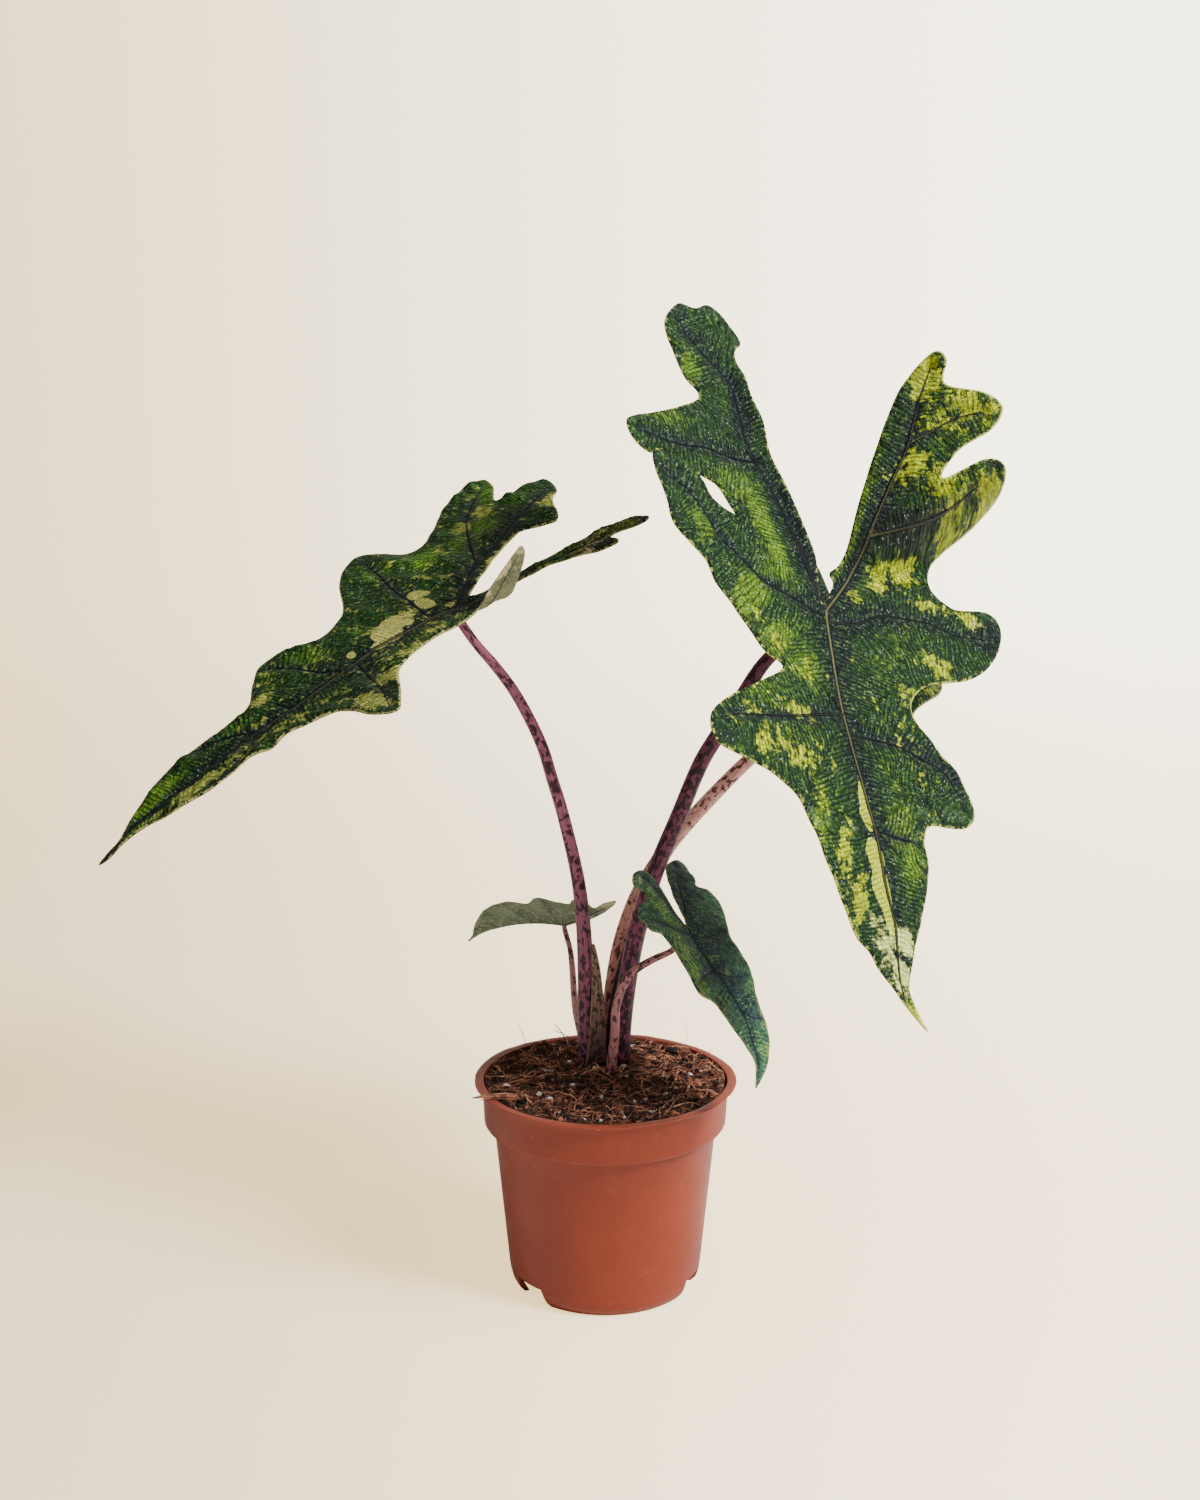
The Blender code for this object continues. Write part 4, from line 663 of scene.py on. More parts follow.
# Flat triangles inside the outline: even points on it, and a grid of offset rows clear of it
def flatBlade(leaf):
    step = leaf["step"]
    loop = evenLine(leaf["outline"], step * 0.85, True)
    ring = np.vstack([loop, loop[:1]])
    low, high = loop.min(0), loop.max(0)
    rows = np.arange(low[0], high[0], step * 0.866)
    cols = np.arange(low[1], high[1], step)
    grid = np.stack(np.meshgrid(rows, cols, indexing="ij"), -1)
    grid[1::2, :, 1] += step / 2
    grid = grid.reshape(-1, 2)
    grid = grid[insideLoop(grid, loop)]
    grid = grid[lineDistance(grid, ring)[0] > step * 0.55]
    flat = [Vector(p) for p in np.vstack([loop, grid]).tolist()]
    found = delaunay_2d_cdt(flat, [], [list(range(len(loop)))], 1, 1e-5)
    points = np.array([tuple(p) for p in found[0]])
    tris = np.array(found[2])
    area = np.cross(points[tris[:, 1]] - points[tris[:, 0]], points[tris[:, 2]] - points[tris[:, 0]])
    tris[area < 0] = tris[area < 0][:, ::-1]
    return points, tris, lineDistance(points, ring)


# What the nearest vein gives each point: a vein's taper falls along it, and its effects fade with distance
def veinFields(points, leaf):
    scale = leafScale(leaf)
    far = np.full(len(points), 99.0)
    flow = np.zeros((len(points), 3))
    core, pale, shade, ridge, wide = (np.zeros(len(points)) for _ in range(5))
    for k, (kind, lightness, line) in enumerate(leaf["veins"]):
        vein = veinKinds[kind]
        line = evenLine(line, 2.5)
        gap, run, side = lineDistance(points, line)
        taper = np.clip(1.08 - run / runLength(line)[-1], 0.05, 1)
        width = vein["wide"] * taper ** 0.6 * scale
        reach = vein["reach"] * scale * (0.45 + 0.55 * taper)
        core = np.maximum(core, np.exp(-(gap / width) ** 2))
        shade = np.maximum(shade, np.exp(-gap / reach) * vein["shade"])
        ridge = np.maximum(ridge, vein["ridge"] * taper * np.exp(-(gap / (width * 1.5)) ** 2))
        take = gap < far
        flow[take] = np.stack([run - vein["slant"] * gap, gap * side, k * 7.0 + 3.0 * side], -1)[take]
        wide[take] = width[take]
        pale[take] = (lightness * taper ** 1.3)[take]
        far = np.minimum(far, gap)
    return far, core, ridge, {"veinFlow": flow, "veinWide": wide, "veinPale": pale, "veinShade": shade}


# Height of the quilted blade: low at the veins, with fine ribs, two soft waves and a wavy rim
def bladeHeight(points, edge, flow, far, core, scale):
    def fade(gap, reach):
        return np.exp(-(gap / (reach * scale)) ** 2)

    def waves(size, seed, reach):
        return wavy(points[:, 0], points[:, 1], size * scale, seed) * np.clip(far / reach, 0, 1)

    quilt = 1 - fade(far, 5.0) - 0.55 * fade(far, 1.7) + 0.5 * core
    ribs = 0.16 * np.sin(flow[:, 0] * fullTurn / (3.7 * scale)) * np.clip(far / 2.0, 0, 1)
    rimLift = 0.7 * np.sin(edge[1] * fullTurn / (17 * scale)) * np.exp(-edge[0] / (3.0 * scale))
    junction = fade(np.hypot(points[:, 0], points[:, 1]), 3.0)
    height = quilt + ribs + 0.8 * waves(24, 3, 6) + 0.22 * waves(6.5, 9, 3) + rimLift
    return height * scale * np.clip(edge[0] / 1.5, 0.25, 1) + 0.5 * junction, junction


# A blade: flat triangles inside the outline, bent, then given its grooves, ridges and thickness
def makeLeaf(name, leaf):
    scale = leafScale(leaf)
    points, tris, edge = flatBlade(leaf)
    far, core, ridge, fields = veinFields(points, leaf)
    height, junction = bladeHeight(points, edge, fields["veinFlow"], far, core, scale)
    thick = blade["margin"] + (blade["middle"] - blade["margin"]) * (1 - np.exp(-edge[0] / 1.4))
    u, v, raised = lapOver(leaf, points)
    normal = bladeNormal(leaf, u, v)
    mid = bladePoint(leaf, u, v) + normal * raised[:, None]
    top = mid + normal * (height + thick / 2)[:, None]
    bottom = mid + normal * (height * 0.9 - thick / 2 - ridge * scale - 0.8 * junction * scale)[:, None]
    count = len(points)
    sides = np.concatenate([tris[:, [0, 1]], tris[:, [1, 2]], tris[:, [2, 0]]])
    rim = sides[~np.isin(sides[:, 0] * count + sides[:, 1], sides[:, 1] * count + sides[:, 0])]
    wall = np.concatenate([np.stack([rim[:, 1], rim[:, 0], rim[:, 0] + count], -1),
                           np.stack([rim[:, 1], rim[:, 0] + count, rim[:, 1] + count], -1)])
    obj = meshObject(name + "_blade", np.concatenate([top, bottom]),
                     np.concatenate([tris, tris[:, ::-1] + count, wall]))
    finish = np.repeat([0, 1, 2], [len(tris), len(tris), len(wall)]).astype(np.int32)
    obj.data.polygons.foreach_set("material_index", finish)
    fields["edgeFar"] = np.clip(edge[0] / 10, 0, 1)
    fields.update({key + "Mask": patchMask(points, leaf[key]) for key in patchKinds})
    for key, values in fields.items():
        addNumbers(obj, key, np.concatenate([values, values]))
    uv = obj.data.uv_layers.new(name="bladePlane")
    corners = np.zeros(len(obj.data.loops), np.int32)
    obj.data.loops.foreach_get("vertex_index", corners)
    flat = points[corners % count] / blade["plane"] + 0.5
    uv.data.foreach_set("uv", flat.astype(np.float32).ravel())
    dress(obj, name, *leafMaterials(name, leaf))


# Blade colour: green, darker by the veins, with flecked yellow and cream sectors and fine cross veins.
# Flow holds the lengths along and across from the nearest vein, Plane the place on the flat leaf, in mm
def buildBladeGroup():
    w, g = openGroup("bladeColour", {
        "Vector": ("Flow", "Plane"),
        "Float": ("Wide", "Pale", "Shade", "Edge", "Yellow", "Band", "Cream", "Bright", "Deep", "Glint"),
        "Color": ("Green", "Fresh", "Dark", "Gold", "Ivory")})
    plane = g["Plane"]
    along, across = w.split(g["Flow"])[:2]
    far = w.math("ABSOLUTE", across)
    drift = w.scaleAdd(w.noise(plane, 0.055), 4.0, w.times(w.noise(plane, 0.33, 1.0), 0.7))
    wave = w.scaleAdd(w.math("SINE", w.times(w.plus(along, drift), 3.0)), 0.5, 0.5)
    fine = w.times(w.ramp(wave, 0.58, 0.95), w.ramp(far, 0.3, 2.0))
    fine = w.times(fine, w.ramp(w.noise(plane, 0.16), 0.34, 0.60, 0.40, 1.0))
    bent = w.shift(plane, w.noise(plane, 0.5), 1.6)
    net = w.ramp(w.cells(bent, 0.62, "DISTANCE_TO_EDGE"), 0.02, 0.15, 1.0, 0.0)
    mosaic = w.split(w.cells(bent, 0.62, "F1", 1))[0]
    grain = w.noise(plane, 1.7, 2.0, 0.6)
    speck = w.noise(plane, 0.42, 3.0, 0.65)
    blotch = w.noise(w.shift(plane, w.noise(plane, 0.055, 3.0, 0.55), 9.0), 0.13, 3.0, 0.6)
    calm = w.sway(blotch, 1.1, w.times(w.sway(mosaic, 0.30, w.less(speck, 0.5)), 0.40))
    patchy = w.sway(w.noise(plane, 0.24, 3.0, 0.6), 1.3, calm)

    # Green, fresher or darker in places
    shade = w.scaleAdd(calm, 0.90, w.scaleAdd(g["Deep"], 0.6, g["Shade"]))
    shade = w.ramp(w.scaleAdd(g["Bright"], -0.42, shade), 0.08, 0.58)
    colour = w.mix(w.ramp(w.scaleAdd(calm, 1.10, g["Bright"]), 0.10, 0.90), g["Green"], g["Fresh"])
    colour = w.mix(shade, colour, g["Dark"])
    freckle = w.times(w.ramp(mosaic, 0.35, 1.0, 0.0, 0.26), w.ramp(speck, 0.40, 0.60))
    colour = w.mix(freckle, colour, g["Fresh"])

    # Gold, the bands by the midrib and cream
    gold = w.ramp(w.scaleAdd(patchy, 1.15, g["Yellow"]), 0.42, 0.72)
    ripe = w.ramp(w.scaleAdd(mosaic, 0.5, w.times(speck, 0.7)), 0.34, 0.74)
    goldTint = w.mix(ripe, w.mix(0.45, g["Gold"], g["Fresh"]), g["Gold"])
    colour = w.mix(w.times(gold, 0.94), colour, goldTint)
    band = w.ramp(w.sway(blotch, 0.7, g["Band"]), 0.58, 0.64)
    colour = w.mix(band, colour, w.mix(0.12, g["Gold"], g["Ivory"]))
    cream = w.ramp(w.scaleAdd(patchy, 0.9, g["Cream"]), 0.36, 0.70)
    colour = w.mix(cream, colour, g["Ivory"])
    pale = w.most(w.most(band, cream), w.times(gold, 0.6))

    # Speckle, cross veins and the net, all weaker where the blade is pale
    gain = w.scaleAdd(mosaic, 0.75, w.scaleAdd(speck, 1.5, -0.08))
    colour = w.mix(w.scaleAdd(pale, -0.55, 1.0), colour, w.mix(1.0, colour, gain, "MULTIPLY"))
    lines = w.times(fine, w.scaleAdd(pale, -0.40, 0.92))
    colour = w.mix(lines, colour, w.mix(0.85, colour, g["Dark"]))
    colour = w.mix(w.times(net, w.scaleAdd(pale, -0.50, 0.72)), colour, g["Dark"])

    # Grey bloom beside the veins; painted highlights: pale crests between the fine cross veins and small
    # glints
    haze = w.times(w.ramp(far, 0.8, 4.5, 0.18, 0.0), w.ramp(speck, 0.40, 0.66))
    colour = w.mix(haze, colour, (0.075, 0.110, 0.095))
    # Painted highlight: pale crests between the fine cross veins, scaled by the leaf's glint strength
    crestHighlight = w.times(w.ramp(wave, 0.0, 0.30, 0.24, 0.0), w.ramp(speck, 0.44, 0.62))
    colour = w.mix(w.times(crestHighlight, g["Glint"]), colour, (0.30, 0.42, 0.34))
    # Painted highlight: small pale glint dots
    point = w.ramp(w.cells(plane, 0.62), 0.10, 0.22, 1.0, 0.0)
    glint = w.times(point, w.ramp(w.noise(plane, 0.20), 0.42, 0.60))
    colour = w.mix(w.times(glint, g["Glint"]), colour, (0.72, 0.84, 0.70))

    # The vein: dark flanks, and a pale core where it runs through gold
    ratio = w.math("DIVIDE", far, g["Wide"])
    flank = w.times(w.ramp(g["Edge"], 0.04, 0.25), w.ramp(ratio, 1.15, 2.1, 0.95, 0.0))
    colour = w.mix(flank, colour, w.mix(0.7, g["Dark"], (0.006, 0.005, 0.011)))
    core = w.times(w.most(g["Pale"], w.times(gold, 0.55)), w.ramp(ratio, 0.35, 0.85, 1.0, 0.0))
    colour = w.mix(core, colour, (0.150, 0.150, 0.060))
    worn = w.ramp(w.scaleAdd(g["Yellow"], 0.35, speck), 0.52, 0.60)
    rim = w.mix(worn, g["Dark"], w.mix(0.5, g["Gold"], g["Ivory"]))
    colour = w.mix(w.ramp(g["Edge"], 0.03, 0.11, 0.85, 0.0), colour, rim)
    height = w.scaleAdd(fine, -1.0, w.scaleAdd(net, -0.5, w.ramp(ratio, 0.0, 1.5, 1.6, 0.0)))
    height = w.scaleAdd(grain, 0.7, w.scaleAdd(speck, 0.9, height))
    rough = w.ramp(grain, 0.3, 0.7, 0.34, 0.50)
    return closeGroup(w, {"Color": colour, "Height": height, "Roughness": rough})


# Underside: paler and duller, with the veins standing out
def buildUnderGroup():
    w, g = openGroup("bladeUnderside", {
        "Vector": ("Flow", "Plane"), "Float": ("Wide", "Shade", "Yellow", "Cream"),
        "Color": ("Under", "Gold", "Ivory", "Vein")})
    plane = g["Plane"]
    along, across = w.split(g["Flow"])[:2]
    phase = w.times(w.plus(along, w.times(w.noise(plane, 0.16), 3.2)), 3.35)
    fine = w.math("POWER", w.scaleAdd(w.math("SINE", phase), 0.5, 0.5), 4.0)
    net = w.ramp(w.cells(plane, 0.62, "DISTANCE_TO_EDGE"), 0.02, 0.14, 1.0, 0.0)
    speck = w.noise(plane, 0.4, 3.0, 0.65)
    blotch = w.ramp(w.noise(plane, 0.09, 4.0, 0.6), 0.34, 0.64)
    colour = w.mix(blotch, w.mix(0.50, g["Under"], (0.02, 0.05, 0.02)), g["Under"])
    colour = w.mix(w.times(g["Shade"], 0.30), colour, g["Vein"])
    colour = w.mix(w.ramp(speck, 0.50, 0.62, 0.0, 0.45), colour, w.mix(0.5, g["Under"], g["Ivory"]))
    gold = w.ramp(w.sway(speck, 1.1, g["Yellow"]), 0.5, 0.85, 0.0, 0.6)
    colour = w.mix(gold, colour, w.mix(0.5, g["Gold"], g["Ivory"]))
    colour = w.mix(w.ramp(w.sway(speck, 0.8, g["Cream"]), 0.45, 0.75), colour, g["Ivory"])
    core = w.ramp(w.math("DIVIDE", w.math("ABSOLUTE", across), g["Wide"]), 0.7, 1.6, 1.0, 0.0)
    for mask in (w.times(fine, 0.22), w.times(net, 0.16), core):
        colour = w.mix(mask, colour, g["Vein"])
    return closeGroup(w, {"Color": colour, "Height": w.scaleAdd(fine, 0.7, w.times(net, 0.5))})


bladeGroup = buildBladeGroup()
underGroup = buildUnderGroup()


def planeVector(w):
    return w.scaled(w.add("UVMap", {}, uv_map="bladePlane").outputs[0], (blade["plane"],) * 3)


# Top, underside and margin, in the order of the blade's material numbers
def leafMaterials(name, leaf):
    topMat, w = newMaterial(name + "Top")
    values = {"Flow": w.attribute("veinFlow", "Vector"), "Plane": planeVector(w),
              "Wide": w.attribute("veinWide"), "Pale": w.attribute("veinPale"),
              "Shade": w.attribute("veinShade"), "Edge": w.attribute("edgeFar"), "Ivory": leaf["creamTint"]}
    values.update({key.capitalize(): w.attribute(key + "Mask") for key in patchKinds})
    values.update({key.capitalize(): leaf[key] for key in ("glint", "green", "fresh", "dark", "gold")})
    out = w.group(bladeGroup, values)
    w.shade({"Base Color": out["Color"], "Roughness": out["Roughness"], "Specular IOR Level": leaf["gloss"],
             "Normal": w.bump(out["Height"], 0.9, 0.0007)})
    underMat, w = newMaterial(name + "Underside")
    out = w.group(underGroup, {
        "Flow": w.attribute("veinFlow", "Vector"), "Plane": planeVector(w),
        "Wide": w.attribute("veinWide"), "Shade": w.attribute("veinShade"),
        "Yellow": w.attribute("yellowMask"), "Cream": w.attribute("creamMask"),
        "Under": leaf["under"], "Gold": leaf["gold"], "Ivory": leaf["creamTint"], "Vein": veinColour})
    w.shade({"Base Color": out["Color"], "Roughness": 0.6, "Specular IOR Level": 0.35,
             "Normal": w.bump(out["Height"], 0.4, 0.0004)})
    marginMat, w = newMaterial(name + "Margin")
    worn = w.ramp(w.noise(planeVector(w), 0.12, 3.0), 0.42, 0.6)
    worn = w.most(worn, w.ramp(w.attribute("yellowMask"), 0.2, 0.6))
    w.shade({"Base Color": w.mix(worn, leaf["dark"], leaf["gold"]), "Roughness": 0.5})
    return topMat, underMat, marginMat


# Stems
# foot is the place in the crown, then points with a radius, from the soil upward, in mm
stems = {
    "petiole_a": {
        "leaf": "leaf_a", "foot": (6.8, 6, 4.6), "cover": 0.62, "skin": (0.26, 0.055, 0.12),
        "spot": (0.02, 0.006, 0.011), "top": (0.19, 0.045, 0.08),
        "points": [(7.8, 5, 122, 4.4), (10.3, 4, 143.4, 4.2), (13.6, 2.5, 163, 4.1), (18.5, 1, 182, 3.9),
        (24.1, 0, 200, 3.8), (32.9, -1, 222, 3.7), (42, -3, 245.4, 3.6), (50, -5, 260, 3.5),
        (59.5, -7, 276, 3.4), (70, -9, 293, 3), (87, -10, 309, 2.4)],
    },
    "petiole_b": {
        "leaf": "leaf_b", "foot": (-8.2, 8, 4.2), "cover": 0.46, "skin": (0.3, 0.085, 0.14),
        "spot": (0.032, 0.01, 0.018), "top": (0.38, 0.115, 0.185),
        "points": [(-8.6, 8, 127.7, 4), (-8.8, 8, 143.6, 3.8), (-9.5, 8, 161, 3.5), (-10.7, 8.4, 177, 3.3),
        (-13.3, 9, 195, 3), (-19, 10, 219.5, 2.8), (-23.7, 10.5, 235.6, 2.7), (-28.1, 11, 250.4, 2.6),
        (-34.2, 12, 263.9, 2.5), (-41.2, 13, 276.3, 2.4), (-49.2, 14, 287, 2.3), (-58.1, 14.5, 297.5, 2.1)],
    },
    "petiole_c": {
        "leaf": "leaf_c", "foot": (2.6, -4, 2.5), "cover": 0.42, "skin": (0.52, 0.22, 0.23),
        "spot": (0.07, 0.022, 0.026), "top": (0.46, 0.19, 0.19),
        "points": [(4.2, -8, 120, 2.1), (4.7, -9.5, 133.5, 2), (5.8, -10.7, 139, 1.9),
        (7.8, -12, 145.6, 1.9), (11.1, -12.5, 151.2, 1.8), (16.5, -12.5, 155.6, 1.7), (22.8, -12, 159, 1.6),
        (30, -12.5, 162.8, 1.4)],
    },
    "petiole_d": {
        "leaf": "leaf_d", "foot": (-8.5, 19.5, 2.2), "cover": 0.36, "skin": (0.8, 0.4, 0.39),
        "spot": (0.12, 0.042, 0.046), "top": (0.7, 0.33, 0.32),
        "points": [(-13.6, 29, 120, 1.7), (-15.4, 42, 136, 1.5), (-16.6, 49, 144, 1.3)],
    },
    "petiole_e": {
        "leaf": "leaf_e", "foot": (3, 18, 4.4), "cover": 0.36, "skin": (0.72, 0.31, 0.25),
        # Painted light: the upper colour is a pale salmon, as if sunlit, though this stem stands in leaf A's
        # shade
        "spot": (0.095, 0.028, 0.022), "top": (1, 0.5, 0.44),
        "points": [(3.2, 19, 126, 4.3), (6.1, 21.5, 147.4, 4.2), (9.8, 25, 162, 4.1), (15.4, 30, 176, 3.9),
        (23.4, 36, 188.6, 3.8), (31.5, 42, 199, 3.6), (40.1, 48, 207.8, 3.5), (54.5, 56, 221.4, 3.4),
        (67.7, 62, 233.2, 3.2), (90, 67, 253, 2.8), (108, 65, 266, 2.4)],
    },
}
footHeights = (87.3, 100.6, 101.8)


# Tangent by differences, and two cross directions carried along the path without twist
def pathFrames(path):
    tangent = np.gradient(path, axis=0)
    tangent /= np.linalg.norm(tangent, axis=1, keepdims=True)
    first = np.array([1.0, 0.0, 0.0]) - tangent * tangent[:, :1]
    first /= np.linalg.norm(first, axis=1, keepdims=True)
    return first, np.cross(tangent, first)


# A round stem: rings along the path, with faint lengthwise flutes, that runs into its leaf's midrib
def makeStem(name, stem, seg=40):
    leaf = leaves[stem["leaf"]]
    under = bladeNormal(leaf, np.zeros(2), np.array([-3.0, 3.0])).sum(0)
    under /= np.linalg.norm(under)
    tip = stem["points"][-1][3]
    rows = [(*stem["foot"][:2], z, stem["foot"][2]) for z in footHeights] + stem["points"]
    for below, radius in ((tip * 0.7 + 1.3, tip * 0.95), (0.1, tip * 0.62)):
        rows.append((*(np.array(leaf["at"]) - under * below), radius))
    line = evenLine(rows, 1.6)
    path, radius = line[:, :3], line[:, 3:]
    first, second = pathFrames(path)
    angle = np.linspace(0, fullTurn, seg, endpoint=False)
    along = runLength(path)[:, None]
    flute = 1 + 0.018 * np.sin(5 * angle + 0.4) + 0.012 * np.sin(11 * angle + along * 0.03)
    ring = first[:, None, :] * np.cos(angle)[:, None] + second[:, None, :] * np.sin(angle)[:, None]
    rings = path[:, None, :] + ring * (radius * flute)[..., None]
    obj = ringBody(name + "_stem", rings, path[0], path[-1])
    flow = np.broadcast_arrays(np.cos(angle) * radius, np.sin(angle) * radius, along)
    flow = np.stack(flow, -1).reshape(-1, 3)
    flow = np.concatenate([flow, flow[:1], flow[-1:]])
    addNumbers(obj, "stemFlow", flow)
    addNumbers(obj, "stemRise", np.clip(flow[:, 2] / along[-1], 0, 1))
    mat, w = newMaterial(name + "Skin")
    out = stemColour(w, stem, stem["cover"])
    w.shade({"Base Color": out["Color"], "Roughness": out["Roughness"],
             "Normal": w.bump(out["Height"], 0.25, 0.0003), "Specular IOR Level": 0.25,
             "Subsurface Weight": 0.06, "Subsurface Radius": (0.004, 0.0015, 0.001)})
    dress(obj, name, mat)


# Stem skin: short dark dashes and bars over a streaked base, denser toward the foot
def buildStemGroup():
    w, g = openGroup("stemMottle", {"Vector": ("Flow",), "Float": ("Rise", "Cover"),
                                    "Color": ("Skin", "Top", "Spot")})
    flow, rise = g["Flow"], g["Rise"]
    base = w.mix(w.ramp(rise, 0.1, 0.75), g["Skin"], g["Top"])
    streak = w.noise(w.scaled(flow, (0.9, 0.9, 0.07)), 1.0)
    base = w.mix(w.ramp(streak, 0.35, 0.7, 0.0, 0.5), base, w.mix(0.6, base, g["Spot"]))
    dash = w.noise(w.scaled(flow, (0.55, 0.55, 0.24)), 1.0, 2.5, 0.6, 0.35)
    bars = w.noise(w.scaled(flow, (0.24, 0.24, 0.36)), 1.0, 2.0, 0.55, 0.3)
    amount = w.scaleAdd(g["Cover"], 0.20, w.scaleAdd(bars, 0.35, w.times(dash, 0.65)))
    spots = w.ramp(w.plus(amount, w.ramp(rise, 0.0, 0.25, 0.05, 0.0)), 0.600, 0.640, 0.0, 0.93)
    colour = w.mix(spots, base, g["Spot"])
    fleck = w.ramp(w.noise(flow, 1.4), 0.60, 0.72, 0.0, 0.4)
    colour = w.mix(fleck, colour, w.mix(0.6, base, g["Spot"]))
    return closeGroup(w, {"Color": colour, "Roughness": w.ramp(streak, 0.3, 0.7, 0.34, 0.5),
                          "Height": w.scaleAdd(streak, 0.8, w.times(spots, 0.25))})


stemGroup = buildStemGroup()


def stemColour(w, piece, cover):
    return w.group(stemGroup, {
        "Flow": w.attribute("stemFlow", "Vector"), "Rise": w.attribute("stemRise"), "Cover": cover,
        "Skin": piece["skin"], "Top": piece["top"], "Spot": piece["spot"]})


# Sheaths
sheaths = {
    "sheath_b": {"foot": (-4.3, 1.6, 100.5), "via": (-1.6, 2.2, 130), "tip": (-5.2, 3.6, 160.5),
                 "width": 10.5, "facing": -84.0, "bow": 9.0, "margin": (0.42, 0.22, 0.17),
                 "skin": (0.150, 0.060, 0.055), "spot": (0.016, 0.008, 0.008), "top": (0.300, 0.170, 0.100)},
    "sheath_e": {"foot": (5.15, 12.1, 100.5), "via": (3.1, 11.5, 130), "tip": (12.1, 19.2, 162.0),
                 "width": 11.0, "facing": -70.0, "bow": 6.3, "margin": (0.10, 0.05, 0.035),
                 "skin": (0.075, 0.036, 0.024), "spot": (0.012, 0.007, 0.006), "top": (0.045, 0.022, 0.017)},
}
sheathForm = {"rows": 61, "cols": 25, "thick": 0.75, "inset": 0.45, "length": 62}   # the last three in mm


# A bowed scale: its middle line is a quadratic curve, its half width shrinks as a power of the height,
# and each row is an arc of the bow radius. Two skins share a rim.
def makeSheath(name, sheath):
    rows, cols, bow = sheathForm["rows"], sheathForm["cols"], sheath["bow"]
    foot, via, tip = (np.array(sheath[key]) for key in ("foot", "via", "tip"))
    facing = math.radians(sheath["facing"])
    out = np.array([math.cos(facing), math.sin(facing), 0.0])
    across = np.array([-out[1], out[0], 0.0])
    t = np.linspace(0, 1, rows)[:, None]
    s = np.linspace(-1, 1, cols)[None, :]
    middle = foot * (1 - t) ** 2 + via * (2 * t * (1 - t)) + tip * t * t
    half = 0.5 * sheath["width"] * ((1 - t) ** 0.7 * 0.90 + 0.10) / bow
    angle = half * s
    ray = out * np.cos(angle)[..., None] + across * np.sin(angle)[..., None]
    ripple = 0.12 * np.sin(s * 9) * (1 - t) + 0.25 * np.sin(t * 17) * np.abs(s)
    skins = []
    for side in (0.5, -0.5):
        radius = bow - sheathForm["inset"] + side * sheathForm["thick"] * (1 - 0.75 * np.abs(s) ** 4) + ripple
        skins.append((middle[:, None, :] + ray * radius[..., None] - out * bow).reshape(-1, 3))
    size = rows * cols
    quads = gridFaces(rows, cols, False)
    index = np.arange(size).reshape(rows, cols)
    rim = np.concatenate([index[0, :-1], index[:-1, -1], index[-1, :0:-1], index[:0:-1, 0]])
    ahead = np.roll(rim, -1)
    wall = np.stack([rim, rim + size, ahead + size, ahead], -1)
    faces = np.concatenate([quads, quads[:, ::-1] + size, wall])
    obj = meshObject(name + "_scale", np.concatenate(skins), faces)
    flow = np.stack(np.broadcast_arrays(s * half * bow, 0.0, t * sheathForm["length"]), -1).reshape(-1, 3)
    addNumbers(obj, "stemFlow", np.concatenate([flow, flow]))
    addNumbers(obj, "stemRise", np.tile(np.repeat(t, cols), 2))
    addNumbers(obj, "rimNear", np.tile(np.abs(s).ravel(), 2 * rows))
    mat, w = newMaterial(name + "Paper")
    out = stemColour(w, sheath, 0.52)
    edge = w.times(w.ramp(w.attribute("rimNear"), 0.80, 0.97), 0.7)
    w.shade({"Base Color": w.mix(edge, out["Color"], sheath["margin"]), "Roughness": 0.62,
             "Normal": w.bump(out["Height"], 0.4, 0.0004)})
    dress(obj, name, mat)


# Pot
pot = {     # mm
    "high": 98.0, "rim": 60.0, "lip": 1.2, "collar": 56.4, "collarLow": 55.6, "collarZ": 78.5,
    "bodyTop": 51.0, "bodyLow": 44.5, "foot": 40.2, "wall": 1.2, "floor": 10.0, "pad": 7.0,
    "seg": 288, "sharp": 38,
    "footCurve": [(42.3, 2.3), (43.2, 4.0), (43.8, 6.2), (43.95, 7.2), (44.12, 7.5), (44.2, 7.8),
                  (44.15, 8.2)],
    "sideCurve": [(46.5, 30.6), (48.8, 54.0)],
    "notchAt": (98.0, 218.0, 338.0), "notchDeg": 24.0, "notchHigh": 9.0, "notchReach": (30.0, 52.0),
    "drainAt": (45, 135, 225, 315), "drain": 3.5, "drainRing": 26,
    "clay": (0.290, 0.043, 0.015), "clayDark": (0.190, 0.032, 0.017), "clayPale": (0.42, 0.125, 0.085),
    "grit": (0.62, 0.40, 0.30),
}


# Closed surface of revolution: each profile point (radius, height) becomes a ring, the two on the axis a pole
def turnProfile(name, profile, seg, centre=(0.0, 0.0), warp=None):
    prof = np.array(profile, float)
    angle = np.linspace(0, fullTurn, seg, endpoint=False)
    r, z = (np.repeat(prof[:, k:k + 1], seg, 1) for k in (0, 1))
    if warp is not None:
        r, z = warp(r, z, angle[None, :])
    rings = np.stack([centre[0] + r * np.cos(angle), centre[1] + r * np.sin(angle), z], -1)
    return ringBody(name, rings[1:-1], rings[0].mean(0), rings[-1].mean(0))


def cutAway(obj, cutter):
    cut = obj.modifiers.new("cut", "BOOLEAN")
    cut.operation = "DIFFERENCE"
    cut.solver = "EXACT"
    cut.object = cutter
    graph = bpy.context.evaluated_depsgraph_get()
    mesh = bpy.data.meshes.new_from_object(obj.evaluated_get(graph))
    obj.modifiers.clear()
    obj.data = mesh
    bpy.data.objects.remove(cutter, do_unlink=True)


